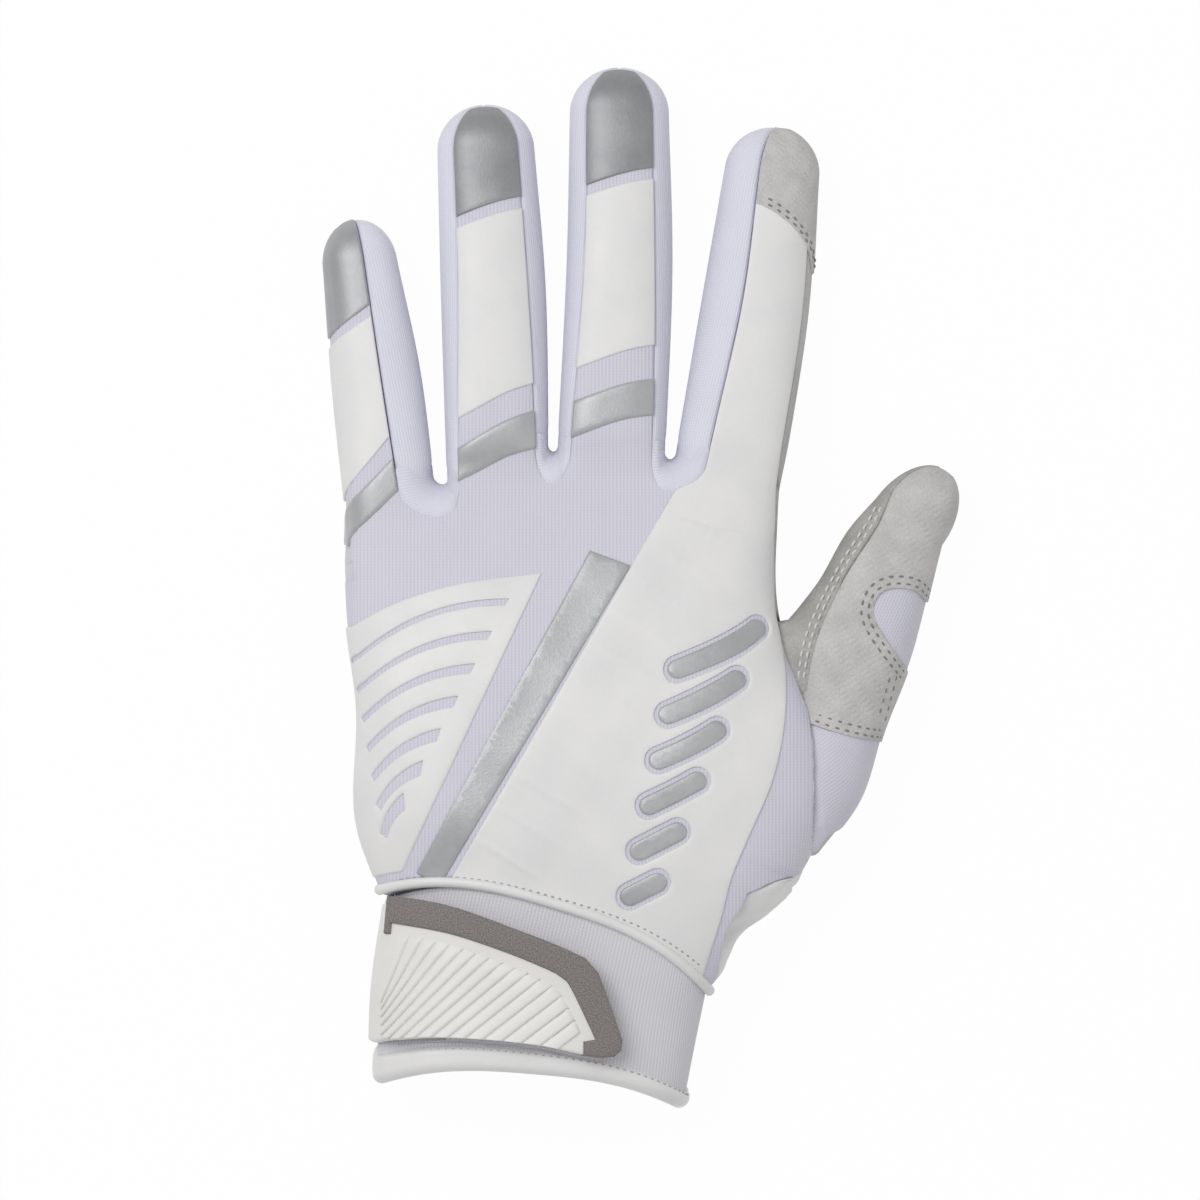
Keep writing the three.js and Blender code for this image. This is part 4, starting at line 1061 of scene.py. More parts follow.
def finger_palm(finger):
    """The leather palm of a finger. Where no gusset lies between, it meets the back's edge."""
    body = np.linspace(PALM_START, finger.tube.body, 46)
    distance = np.concatenate([body, finger.tip_rows()])[:, None]
    seam = finger.seam + SEAM_GAP_DEG / 2
    first, last = (finger.tube.polar(distance, limit) for limit in (180 + seam, 360 - seam))
    if "radial" not in finger.facts["gussets"]:
        trimmed = 0.5 * (1 - smoothstep(PALM_START, 3, distance))
        last = finger.back_columns(distance)[0][:, :1] - 0.02 + 2 * np.pi - trimmed
    polar = first + (last - first) * spread(18, 0.05)
    distance = distance + 0 * polar
    name = f"{finger.name}_leather_palm"
    sunk = PALM_SINK * (1 - smoothstep(PALM_START, 9, distance)) * (1 - 0.85 * smoothstep(5.6, 6.2, polar))
    offsets = (-WALL - sunk, -sunk)
    obj = panel(name, finger.tube.point, distance, polar, offsets, LEATHER, FINGER_RIM, LONG_SIDES)
    finger.ride(obj, "leather", f"{finger.name}_palm")


def finger_film(finger, name, ends, finish, slot, rows=24):
    """A film across the back of a finger.

    An end lies at a distance on the finger's middle, and leans and bends from there. Without a far end the
    film runs over the fingertip.
    """
    first = last = np.full((1, 1), ends[0][0])
    if len(ends) == 1:
        last = np.full((1, 1), finger.tube.length)
    shares = spread(rows, 0.02)[:, None]
    for _ in range(4):
        distance = first + (last - first) * shares
        polar, aside = finger.back_columns(distance, FILM_INSET, 10, 0.06)
        lean = np.cos(polar[[0, -1]])
        first = ends[0][0] + ends[0][1] * lean[0] - FILM_BEND * lean[0] ** 2
        if len(ends) == 1:
            reach = 0.94 - 0.2 * np.abs(lean[1]) ** 3 if "ulnar" in finger.facts["gussets"] else 0.999
            last = finger.tube.body + finger.tube.tip * reach
        else:
            last = ends[1][0] + ends[1][1] * lean[1] - FILM_BEND * lean[1] ** 2
    place = finger.skin(polar, aside)
    obj = panel(f"{name}_cut", place, distance, polar, FILM_LIFT, finish, 0.4)
    finger.ride(obj, slot, name)


def finger_films(finger):
    """The three films on the back of a finger, from its tip."""
    ends = finger.facts["films"]
    name = finger.name
    # The fingertip film takes a darker copy of the silver, as painted shade.
    tip = LITTLE_TIP_PAINTED_SHADE if name == "little" else SILVER_TIP_PAINTED_SHADE
    finger_film(finger, f"{name}_tip_film", ends["tip"], tip, "silver_film")
    finger_film(finger, f"{name}_white_film", ends["white"], WHITE_FILM, "white_film")
    finger_film(finger, f"{name}_bar_film", ends["bar"], SILVER, "silver_film", 10)


WRAP_LINE = [
    (34.0, 96.6), (36.4, 96.0), (38.8, 95.0), (41.2, 93.4),
    (43.6, 91.0), (45.4, 88.0), (46.8, 84.4), (47.4, 80.0),
]
WRAP_FACE = 0.66  # where the stitches in that leather lie, from the surface


def index_wrap_start(tube, polar):
    """Distance at which the leather of the index fingertip begins: a curve that drops to the free side."""
    line = np.array(WRAP_LINE)
    centre, across, forward, half = tube.axes(0.8)
    aside = (line - centre) @ across / half
    ahead = (line - centre) @ forward + 0.8 * tube.body
    order = np.argsort(aside)
    return np.interp(np.cos(polar), aside[order], ahead[order])


def overlay_trim(finger):
    """How far left of the index finger's middle the overlay's straight edge lies, behind the crotch."""
    low, high = np.array(OVERLAY_LEFT[-1], float), np.array(OVERLAY_CROTCH, float)
    run = high - low
    normal = np.array([run[1], -run[0]])

    def trim(far):
        """Widths to the left at distances along the finger."""
        place = finger.centre + finger.forward * far[..., None] - low
        gap = place @ normal / (finger.across @ normal)
        return np.where(far > finger.crotch["ulnar"] - WEB_DEPTH + 1.5, np.inf, gap)

    return trim


def index_panel(finger):
    """The white panel over the whole back of the index finger."""
    options = (FILM_INSET, 12, 0.06, overlay_trim(finger))
    first = finger.starts(*options)
    shares = spread(70, 0.006)[:, None]
    last = np.full(len(first), finger.tube.body)
    for _ in range(3):
        distance = first + (last - first) * shares
        polar, aside = finger.back_columns(distance, *options)
        last = index_wrap_start(finger.tube, polar[-1]) + 1.0
    place = finger.skin(polar, aside)
    outer = FILM_LIFT[1] + 0.03 * (1 - smoothstep(0, 6, distance - first))
    sides = (*LONG_SIDES, "end")
    obj = panel("index_white_panel", place, distance, polar, (FILM_LIFT[0], outer), WHITE_FILM, 0.35, sides)
    finger.ride(obj, "white_film", "index_white_film")


def index_tip(finger):
    """The leather wrapped over the index fingertip, with its two rows of stitches."""
    seam = finger.tube.polar(finger.tube.body, 180 - finger.back_seam) - 0.03
    polar = -0.5 + (seam + 0.5) * spread(36, 0.03)
    first = index_wrap_start(finger.tube, polar)
    last = finger.tube.body + 0.97 * finger.tube.tip
    shares = np.concatenate([[0.0, 0.01, 0.03, 0.06], np.linspace(0.1, 1, 30)])[:, None]
    distance = first + (last - first) * np.sin(shares * np.pi / 2)
    polar = polar + 0 * distance
    offsets = (0.02, 0.4 + 0.25 * smoothstep(0.0, 0.6, polar))
    obj = panel("index_leather_tip", finger.tube.point, distance, polar, offsets, LEATHER, 0.45)
    finger.ride(obj, "leather", "index_tip_wrap")
    for row, back in enumerate((1.1, 2.4)):
        turn = np.linspace(0.22, seam - 0.06, 60)
        far = index_wrap_start(finger.tube, turn) + back
        path = finger.tube.point(far, turn, WRAP_FACE)
        normals = normals_of(finger.tube.point, far, turn, WRAP_FACE)
        obj = stitches(f"index_tip_stitching_{row + 1}", path, normals, STITCH_HOLE_SHADE, *HOLE_STITCH)
        finger.ride(obj, "leather")


for finger_name in FINGERS:
    shape = Finger(finger_name)
    finger_back(shape)
    finger_palm(shape)
    for gusset_side in shape.facts["gussets"]:
        finger_gusset(shape, gusset_side)
    if shape.facts["films"]:
        finger_films(shape)
    else:
        index_panel(shape)
        index_tip(shape)


# Hand
# Forward places, with how far to the right the knit back's edge lies there
RADIAL_EDGE = [
    (-62.0, 29.0), (-56.0, 30.0), (-52.6, 30.6), (-49.8, 31.4), (-45.5, 34.2), (-42.4, 35.6),
    (-41.2, 38.4), (-40.0, 40.8), (-39.4, 43.0), (-38.9, 45.6), (-37.4, 46.9), (-33.8, 48.4),
    (-29.0, 48.5), (-21.8, 48.8), (-12.5, 48.6), (-6.0, 47.5), (0.4, 45.0), (4.7, 43.2),
    (8.0, 42.3), (14.0, 40.9), (20.0, 40.8), (29.0, 40.6), (36.0, 40.9), (42.0, 41.2),
]
HEEL_RISE = 9.0  # how far the white heel panel runs up beside the thumb
LEAF_GAP = 0.35  # how far a panel's edge lies under the one sewn over it
HEEL_OPEN = (0.5, 6.5)  # lengths past the heel panel over which the palm's edge draws back for the thumb
PALM_CLOSE = (10.0, 14.0)  # forward places over which that edge comes back to the knit's, past the thumb
INDEX_SIDE = (21.0, 28.0)  # forward places over which it slips under the index finger's back
HEEL_WALL = 0.9
HEEL_WRINKLE = 0.5
HEEL_DENT = 3.0  # depth of the hollow beside the thumb's root
OVERLAY_RIGHT = [
    (40.8, 28.4), (40.8, 20.0), (41.1, 14.0), (42.1, 8.6), (43.0, 2.6), (43.1, -4.6),
    (42.2, -12.5), (40.0, -21.1), (35.7, -31.1), (32.2, -39.4), (30.4, -46.6), (27.6, -55.5),
]
ULNAR_TOP = [(-43.6, 10.6), (-37.0, 14.4), (-29.0, 17.4), (-20.0, 19.6), (-5.6, 21.4)]
ULNAR_RIGHT = [(-5.6, 21.4), (-33.6, -38.0)]
STRIPE = [(6.4, 24.6), (-28.4, -39.6)]
STRIPE_WIDTH = 5.4
SLOT_COUNT = 7
SLOT_START = [(-43.6, 3.4), (-37.2, -31.0)]
SLOT_END = [(-12.6, 15.6), (-33.0, -24.0)]
SLOT_WIDTH = (1.0, 2.2)  # first and last slot
SLOT_BOW = 0.1  # rise of a slot's curve, as a share of its length
RIDGE_PITCH = 7.6
RIDGE_HEIGHT = 0.22
VENT_COUNT = 6
VENT_MIDDLE = (0.685, 0.45)  # shares across and along the hand
VENT_ROW_DEG = 73.0
VENT_DEG = 27.0
VENT_LENGTH = (21.5, 10.0)  # first and last bar
VENT_WIDTH = 3.8
VENT_MARGIN = 0.9
VENT_BRIDGE = 1.6
PIPING_LINE = 0.8  # from the wrist to the piping's middle
PIPING_DEG = (4.0, 174.0)
PIPING_SIZE = (1.05, 0.85)  # half width and half height


def ride(obj, body, slot, *nodes):
    """The piece moves with a body, and stands for its nodes."""
    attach(obj, body)
    if nodes:
        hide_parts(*nodes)


def on_back(tube, plan):
    """Distance and polar angle on the back, round tip included, above places in plan."""
    plan = np.asarray(plan, float)
    distance, polar = tube.locate(plan)
    centre, across, forward, half = tube.axes(1.0)
    ahead = (plan - centre) @ forward
    past = np.clip(ahead / (tube.tip or 1.0), 0, 0.99)
    side = (plan - centre) @ across / (half * np.sqrt(1 - past * past))
    over = tube.polar_across(tube.body, (1 + np.clip(side, -0.99, 0.99)) / 2)
    round_end = (ahead > 0) & (tube.tip > 0)
    distance = np.where(round_end, tube.body + tube.tip * past, distance)
    return np.stack([distance, np.where(round_end, over, polar)], -1)


def places(tube, plan, lift=0.4, skin=None):
    """Distance and polar angle on the back of the points that lie at places in plan once they are lifted."""
    plan = np.asarray(plan, float)
    aim = plan.copy()
    for _ in range(5):
        found = on_back(tube, aim)
        miss = plan - (skin or tube.point)(found[..., 0], found[..., 1], lift)[..., :2]
        aim = aim + np.clip(miss, -1.5, 1.5) * 0.8
    return on_back(tube, aim)


def smooth_path(points, count):
    """Evenly many places along a soft curve through the points."""
    return spline(points, np.linspace(0, 1, count))


def dense(points, step=1.5, closed=True):
    """A line of places in plan with more added, so that it stays straight on a curved surface."""
    points = np.asarray(points, float)
    ends = np.roll(points, -1, axis=0) if closed else np.concatenate([points[1:], points[-1:]])
    out = []
    for start, end in zip(points, ends):
        count = max(int(np.linalg.norm(end - start) / step), 1)
        out.extend(start + (end - start) * k / count for k in range(count))
    return np.array(out)


def radial_limit(distance):
    """Polar angle of the knit back's edge on the thumb's side, for a column of distances."""
    shares = np.linspace(0.5, 0.9985, 240)
    polar = HAND.polar_across(distance, shares)
    plan = HAND.point(distance, polar)[..., :2]
    heights, edges = np.array(RADIAL_EDGE).T
    past = plan[..., 0] > np.interp(plan[..., 1], heights, edges)
    past[:, -1] = True
    return np.take_along_axis(polar, np.argmax(past, axis=1)[:, None], axis=1)


def fold_line(x):
    """Forward place of the fingers' fold lines."""
    edge = np.array([TUBES[name].plan(side, 0.0) for name in FINGERS for side in (0, 1)])
    return np.interp(x, edge[:, 0], edge[:, 1])


def distance_to(line, polar, start):
    """Distance along the hand at which columns reach a line."""
    reach = start
    for _ in range(12):
        plan = HAND.point(reach, polar)[..., :2]
        reach = np.clip(reach + line(plan[..., 0]) - plan[..., 1], 1, HAND.body)
    return reach


def hand_back():
    """The knit back of the hand, from the wrist to the knuckle line."""
    rows = np.linspace(0, 1, 90)[:, None]
    columns = spread(70, 0.012)
    distance = rows * 80 * np.ones_like(columns)
    for _ in range(8):
        right, left = HAND.polar(distance, RADIAL_SEAM_DEG + 10), HAND.polar(distance, ULNAR_SEAM_DEG)
        drawn = radial_limit(distance[:, :1]) - right[:, :1]
        polar = right + (left - right) * columns + drawn * np.clip(1 - columns / DRAW_SHARE, 0, 1) ** 2
        distance = rows * distance_to(knuckle_line, polar[-1], distance[-1])
    offsets = (-WALL, 0.0)
    name = "hand_knit_back"
    obj = panel(name, HAND.point, distance, polar, offsets, KNIT, HAND_RIM, LONG_SIDES, seen_from_above)
    ride(obj, "hand", "knit", "back_knit")


def heel_line(columns):
    """Where the heel panel ends, at shares across the palm."""
    return HEEL_LENGTH + HEEL_RISE * smoothstep(0.8, 0.97, columns)


def hand_palm():
    """The leather palm, from the heel panel to the fold lines, and up to the back beside the index finger."""
    rows = np.linspace(0, 1, 60)[:, None]
    columns = spread(70, 0.012)
    heel = heel_line(columns)
    distance = heel + rows * 60
    for _ in range(8):
        height = HAND.plan(1.0, distance / HAND.body)[..., 1]
        under, over = HAND.polar(distance, RADIAL_SEAM_DEG), radial_limit(distance[:, -1:]) - 0.02
        beside = smoothstep(*INDEX_SIDE, height)
        over = over + 0.16 * beside
        closed = 0.8 - 0.8 * smoothstep(*HEEL_OPEN, distance - heel)
        closed = np.maximum(smoothstep(*PALM_CLOSE, height), closed)
        right = under + (over - under) * closed + 2 * np.pi
        left = HAND.polar(distance, ULNAR_SEAM_DEG) + 0.02
        polar = left + (right - left) * columns
        end = distance_to(fold_line, polar[-1], distance[-1])
        distance = heel + (end - heel) * rows
    tuck = 0.5 * beside * smoothstep(0.93, 0.99, columns) + 0.4 * smoothstep(0.88, 1, rows)
    sides = (*LONG_SIDES, "start")
    offsets = (-WALL - tuck, -tuck)
    obj = panel("hand_leather_palm", HAND.point, distance, polar, offsets, LEATHER, HAND_RIM, sides)
    ride(obj, "hand", "leather", "palm_leather")


def hand_heel():
    """The white panel over the heel of the palm, wrinkled beside the thumb."""
    columns = spread(70, 0.012)
    distance = np.linspace(0, 1, 36)[:, None] * (heel_line(columns) - 0.3)
    right = radial_limit(distance[:, -1:]) - 0.012 + 2 * np.pi
    left = HAND.polar(distance, ULNAR_SEAM_DEG) + 0.02
    polar = left + (right - left) * columns
    wrinkle = HEEL_WRINKLE * np.sin(polar * 16 + distance * 0.55) * np.sin(distance * 0.3 + 1)
    wrinkle = wrinkle * smoothstep(5.8, 6.2, polar)
    dent = HEEL_DENT * np.exp(-(((distance - 12) / 4.6) ** 2)) * smoothstep(5.6, 6.1, polar)
    face = -LEAF_GAP + wrinkle * smoothstep(0, 6, distance) - dent
    sides = (*LONG_SIDES, "end")
    offsets = (face - HEEL_WALL, face)
    obj = panel("hand_white_heel", HAND.point, distance, polar, offsets, WHITE_FILM, HAND_RIM, sides)
    ride(obj, "hand", "white_synthetic", "palm_heel")


def wrist_edge(right, left, distance=1.0, count=40):
    """Places along the wrist between two shares across the hand."""
    across = np.linspace(right, left, count)
    far = np.full(count, distance)
    return np.stack([far, HAND.polar_across(far, across)], -1)


def bar_outline(centre, length, width, degrees, count=10):
    """A bar with round ends, in plan."""
    turn = np.radians(degrees)
    run = np.array([math.cos(turn), math.sin(turn)])
    side = np.array([-run[1], run[0]])
    bend = np.linspace(-np.pi / 2, np.pi / 2, count)
    cap = np.cos(bend)[:, None] * run * width / 2 + np.sin(bend)[:, None] * side * width / 2
    straight = run * (length - width) / 2
    return np.concatenate([centre + straight + cap, centre - straight - cap])


def vent_outline(index, margin):
    """A silver bar of the vent, grown by a margin."""
    row = math.radians(VENT_ROW_DEG)
    pitch = (VENT_WIDTH + 2 * VENT_MARGIN + VENT_BRIDGE) / math.sin(row - math.radians(VENT_DEG))
    step = np.array([math.cos(row), math.sin(row)]) * pitch
    centre = HAND.plan(*VENT_MIDDLE) + step * ((VENT_COUNT - 1) / 2 - index)
    length = lerp_pair(VENT_LENGTH, index / (VENT_COUNT - 1))
    return bar_outline(centre, length + 2 * margin, VENT_WIDTH + 2 * margin, VENT_DEG)


def slot_outline(index):
    """A curved slot with a slanted end, open towards the ulnar edge."""
    share = index / (SLOT_COUNT - 1)
    start, end = lerp_pair(SLOT_START, share), lerp_pair(SLOT_END, share)
    width = lerp_pair(SLOT_WIDTH, share)
    chord = end - start
    up = np.array([-chord[1], chord[0]]) / np.linalg.norm(chord)
    t = np.linspace(0, 1, 16)[:, None]
    spine = start + chord * t + up * 4 * SLOT_BOW * np.linalg.norm(chord) * t * (1 - t)
    thick = up * width / 2 * (0.55 + 0.45 * np.sin(np.pi * (0.2 + 0.5 * t)))
    lean = chord / np.linalg.norm(chord) * width * 0.6 * t
    return np.concatenate([spine - thick - lean, (spine + thick + lean)[::-1]])


def embossed(distance, polar):
    """Faint diagonal ridges in the radial overlay, fading out towards the thumb."""
    plan = HAND.point(distance, polar)[..., :2]
    left = np.array(OVERLAY_LEFT[:2], float)
    run = (left[1] - left[0]) / np.linalg.norm(left[1] - left[0])
    along = (plan - left[0]) @ run
    away = (plan - left[0]) @ np.array([run[1], -run[0]])
    half = RIDGE_PITCH / 2
    ridge = np.abs((along + away * 0.05) % RIDGE_PITCH - half) / half
    fade = smoothstep(0.5, 3, away) * (1 - smoothstep(10, 21, away)) * smoothstep(6, 12, along)
    return RIDGE_HEIGHT * np.clip(1 - ridge * 5, 0, 1) * fade


def radial_overlay():
    """The white film over the thumb's side of the back, with a hole for each bar of the vent."""
    top = np.linspace(OVERLAY_LEFT[-1][0] + 0.9, OVERLAY_RIGHT[0][0], 16)
    top = np.stack([top, knuckle_line(top) + 1.0], -1)
    right = smooth_path(OVERLAY_RIGHT, 40)
    edge = dense(np.concatenate([OVERLAY_LEFT, top, right]), closed=False)
    outline = np.concatenate([places(HAND, edge), wrist_edge(0.965, 0.2)])
    holes = [places(HAND, vent_outline(i, VENT_MARGIN)) for i in range(VENT_COUNT)]
    loops = [outline] + holes
    obj = film("radial_white_overlay", HAND.point, loops, FILM_LIFT, WHITE_FILM, OVERLAY_RIM, 1.0, embossed)
    ride(obj, "hand", "white_film", "radial_overlay")


def vent_bars():
    """The silver bars in those holes."""
    for index in range(VENT_COUNT):
        loop = places(HAND, vent_outline(index, 0))
        obj = film(f"vent_silver_bar_{index + 1}", HAND.point, [loop], FILM_LIFT, SILVER, SILVER_RIM)
        ride(obj, "hand", "silver_film", f"vent_bar_{index + 1}")


def ulnar_overlay():
    """The white film over the little finger's side of the back, cut by slots."""
    top = places(HAND, smooth_path(ULNAR_TOP, 24))
    right = places(HAND, dense(ULNAR_RIGHT, closed=False))
    foot = places(HAND, [ULNAR_RIGHT[1], (-36.4, -38.6)])
    side = np.stack([np.linspace(foot[1, 0], top[0, 0], 30), np.full(30, np.pi + 0.12)], -1)
    slots = [places(HAND, slot_outline(i)) for i in range(SLOT_COUNT)]
    loops = [np.concatenate([side, top, right[1:]])] + slots
    obj = film("ulnar_white_overlay", HAND.point, loops, FILM_LIFT, WHITE_FILM, OVERLAY_RIM, 1.2)
    ride(obj, "hand", "white_film", "ulnar_overlay")


def stripe():
    """The silver stripe between the two overlays."""
    head, tail = np.array(STRIPE, float)
    run = (head - tail) / np.linalg.norm(head - tail)
    across = np.array([run[1], -run[0]]) * STRIPE_WIDTH / 2
    slant = np.array([3.4, -0.4])
    loop = places(HAND, dense([tail - across, head - across, head + across + slant, tail + across]))
    obj = film("diagonal_silver_stripe", HAND.point, [loop], FILM_LIFT, SILVER, SILVER_RIM)
    ride(obj, "hand", "silver_film", "diagonal_stripe")


def line_on(place, loop, count, offset):
    """A path along a line of places on a surface, with its normals."""
    share = np.linspace(0, len(loop) - 1, count)
    far = np.interp(share, np.arange(len(loop)), loop[:, 0])
    turn = np.interp(share, np.arange(len(loop)), loop[:, 1])
    return place(far, turn, offset), normals_of(place, far, turn, offset)


def wrist_seam():
    """Piping along the wrist, and stitches beside it."""
    ends = (HAND.polar(PIPING_LINE, limit) for limit in PIPING_DEG)
    line = np.stack([np.full(90, PIPING_LINE), np.linspace(*ends, 90)], -1)
    path, normals = line_on(HAND.point, line, 160, 0.5)
    obj = roll("wrist_piping", path, normals, PIPING_SIZE, BINDING)
    ride(obj, "hand", "white_binding", "wrist_seam_binding")
    path, normals = line_on(HAND.point, wrist_edge(0.94, 0.05, 2.7), 160, FILM_LIFT[1])
    obj = stitches("wrist_stitching", path, normals, NEEDLE_HOLE_SHADE, *SMALL_STITCH)
    ride(obj, "hand", "white_binding")


def web_edges(pair):
    """Seam around a crotch and edge of the gap itself, from the left finger round to the right one."""
    seam, gap = [], []
    for name, side in ((pair[0], "radial"), (pair[1], "ulnar")):
        finger = Finger(name)
        sign = 1 if side == "radial" else -1
        reach = finger.crotch[side]
        turn = np.linspace(0, np.pi / 2, 16)
        low = reach - WEB_DEPTH + WEB_ROUND * (1 - np.cos(turn))
        far = np.concatenate([low, low[-1] + np.array([1.5, 3.0])])
        polar, aside = back_polar(finger.tube, far, finger.back_edge(far, side, -0.5), sign)
        seam.append(finger.skin(polar, aside)(far, polar, -0.35))
        share = np.linspace(0, 1, len(far))
        bottom = np.clip(share / 0.6, 0, 1) * np.pi / 2
        beyond = (far[-1] - reach - GAP_ROUND) * np.clip((share - 0.6) / 0.4, 0, 1)
        ahead = reach + GAP_ROUND * (1 - np.cos(bottom)) + beyond
        gap.append(finger.tube.point(ahead, 0.0 if sign > 0 else np.pi, -0.5))
    blend = smoothstep(0.0, 0.45, np.linspace(0, 1, len(seam[0])))[:, None]
    middle = (seam[0][0] + seam[1][0]) / 2
    seam = [line + (middle - line[0]) * (1 - blend) for line in seam]
    middle = (gap[0] + gap[1]) / 2
    gap = [line + (middle - line) * (1 - np.sin(bottom))[:, None] for line in gap]
    return [np.concatenate([lines[0][::-1], lines[1][1:]]) for lines in (seam, gap)]


def web(pair):
    """The knit web in a crotch: from the seam around it, rolled over the edge and down to the palm."""
    seam, gap = web_edges(pair)
    turn = np.linspace(0, np.pi / 2, 12)[:, None, None]
    plan = seam[:, :2] + (gap - seam)[:, :2] * np.sin(turn)
    height = seam[:, 2:] + (gap - seam)[:, 2:] * (1 - np.cos(turn))
    over = np.concatenate([plan, height], -1)
    drop = np.linspace(0, 1, 6)[1:, None, None]
    low = over[-1][:, 2:] * (1 - drop) + WEB_FOOT * drop
    down = over[-1] * np.array([1, 1, 0]) + np.array([0, 0, 1]) * low
    behind = over[0] * np.array([1, 1, 0]) + np.array([0, -3.0, WEB_FOOT])
    lead = seam + np.array([0, -1.2, -0.5])
    outer = np.concatenate([lead[None], over, down, behind[None]])
    normal = unit(np.cross(np.gradient(outer, axis=1), np.gradient(outer, axis=0)))
    uv = np.stack([steps_along(outer, 1), steps_along(outer, 0)], -1)
    half = outer.shape[1] // 2
    for name, columns in zip(pair, (slice(0, half + 1), slice(half, None))):
        face = outer[:, columns]
        points, faces = shell(face, face + normal[:, columns] * WEB_WALL)
        flat = uv[:, columns].reshape(-1, 2)
        obj = add_mesh(f"{pair[0]}_{pair[1]}_web_{name}", points, faces, GUSSET_PAINTED_LIGHT, np.concatenate([flat, flat]))
        Finger(name).ride(obj, "knit")


hand_back()
hand_palm()
hand_heel()
radial_overlay()
vent_bars()
ulnar_overlay()
stripe()
wrist_seam()
for web_pair in CROTCHES:
    web(web_pair)


# Thumb
THUMB_BACK_DEG = (-10.0, 190.0)
THUMB_PALM_DEG = (192.0, 348.0)
THUMB_BEND = (6.0, 8.0)  # lengths behind the thumb's root and past it; ride_thumb reads them, and nothing bends over them
THUMB_START = -5.0  # how far the thumb's panels run in under the hand
BAND_RIDGE = [(47.0, -2.0), (48.2, 5.2), (50.2, 11.6), (54.6, 20.8), (59.8, 28.8), (61.8, 32.2), (64.2, 38.0)]
WRAP_FOOT = [(47.0, -8.4), (52.0, -10.2), (58.2, -11.8), (62.0, -12.4)]
WRAP_NOTCH = [
    (67.2, 2.4), (63.2, 8.0), (60.9, 12.0), (60.6, 14.4),
    (61.8, 17.0), (64.6, 18.2), (68.8, 17.6), (71.6, 15.0),
]
THUMB_LAYER = (0.05, 0.6)
THUMB_DRAW = 0.4  # how far the thumb's outer side is drawn in at its root
THUMB_RISE = 7.0  # length over which the thumb climbs from under the hand's edge
# The most that it sinks there, by forward place
THUMB_SETTLE = [(-40.0, 1.6), (-28.0, 1.2), (-14.0, 1.0), (-4.0, 4.5), (10.0, 5.0)]
SLIT_DEG = 58.0  # how far the knit draws back from the slit at the thumb's root
SLIT_FADE = (3.0, 12.0)  # distances along the thumb between which it comes back
BAND_EDGE_DEG = 187.0
WRAP_EDGE_DEG = -7.0
WRAP_SIDES = [
    [(65.3, 1.4), (64.1, -3.2), (63.0, -7.5), (62.2, -10.0)],
    [(63.9, 1.0), (62.8, -2.8), (61.8, -6.4), (61.0, -9.0)],
]


def ride_thumb(obj, slot, *nodes):
    """The piece's placement is baked into its mesh, and it stands for its nodes."""
    centre, _, forward, _ = THUMB.axes(0.0)
    start, end = centre - forward * THUMB_BEND[0], centre + forward * THUMB_BEND[1]
    np.append(start, 0.0) * MM
    np.append(end, 0.0) * MM
    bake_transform(obj)
    if nodes:
        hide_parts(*nodes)


def hand_edge_heights():
    """Heights of the hand's surface along the knit back's edge on the thumb's side."""
    line = np.array(RADIAL_EDGE)[:, ::-1]
    return HAND.point(*HAND.locate(line))[:, 2] - 0.75


EDGE_HEIGHTS = hand_edge_heights()


def thumb_skin(distance, polar, offset=0.0):
    """The thumb's surface, which climbs from under the edge of the hand's back."""
    distance, polar, offset = grids(distance, polar, offset)
    bare = THUMB.point(distance, polar)
    point = THUMB.point(distance, polar, offset)
    rows, edges = np.array(RADIAL_EDGE).T
    past = bare[..., 0] - np.interp(bare[..., 1], rows, edges)
    low = np.interp(bare[..., 1], rows, EDGE_HEIGHTS)
    most = np.interp(bare[..., 1], *np.array(THUMB_SETTLE).T)
    drop = np.clip(bare[..., 2] - low, 0, most)
    point[..., 2] -= drop * (1 - smoothstep(-0.6, THUMB_RISE, past))
    across = THUMB.axes(THUMB.share(distance))[1]
    drawn = THUMB_DRAW * (1 - smoothstep(8, 22, distance)) * np.maximum(np.cos(polar), 0) ** 2
    point[..., :2] -= across * drawn[..., None]
    return point


def thumb_panels():
    """The thumb's knit back and leather palm, both drawn back from the slit at its root."""
    body = np.linspace(THUMB_START, THUMB.body, 60)
    tip = THUMB.body + THUMB.tip * TIP_ROWS
    rows = np.concatenate([body, tip])[:, None]
    for name, limits, finish, slot, node in (
        ("thumb_knit_back_panel", THUMB_BACK_DEG, KNIT, "knit", "thumb_knit_back"),
        ("thumb_leather_palm", THUMB_PALM_DEG, LEATHER, "leather", "thumb_palm"),
    ):
        share = spread(40, 0.03)
        slit = math.radians(SLIT_DEG) * (1 - smoothstep(*SLIT_FADE, rows))
        near = share if limits == THUMB_BACK_DEG else 1 - share
        polar = THUMB.between(rows, limits, share) + slit * np.clip(1 - near / DRAW_SHARE, 0, 1) ** 2
        tuck = 0.0 if limits == THUMB_BACK_DEG else 1.6 * np.minimum(slit, 1) * np.clip(1 - near / 0.3, 0, 1)
        distance = rows + 0 * polar
        obj = panel(name, thumb_skin, distance, polar, (-WALL - tuck, -tuck), finish, FINGER_RIM, LONG_SIDES)
        ride_thumb(obj, slot, node)


def on_thumb(points, count):
    """Places on the thumb's leather along a soft curve through points in plan."""
    return places(THUMB, smooth_path(points, count), THUMB_LAYER[1], thumb_skin)


def rooted(line):
    """The line with its first place carried back under the hand."""
    return np.concatenate([[(THUMB_START + 1.0, line[0, 1])], line])


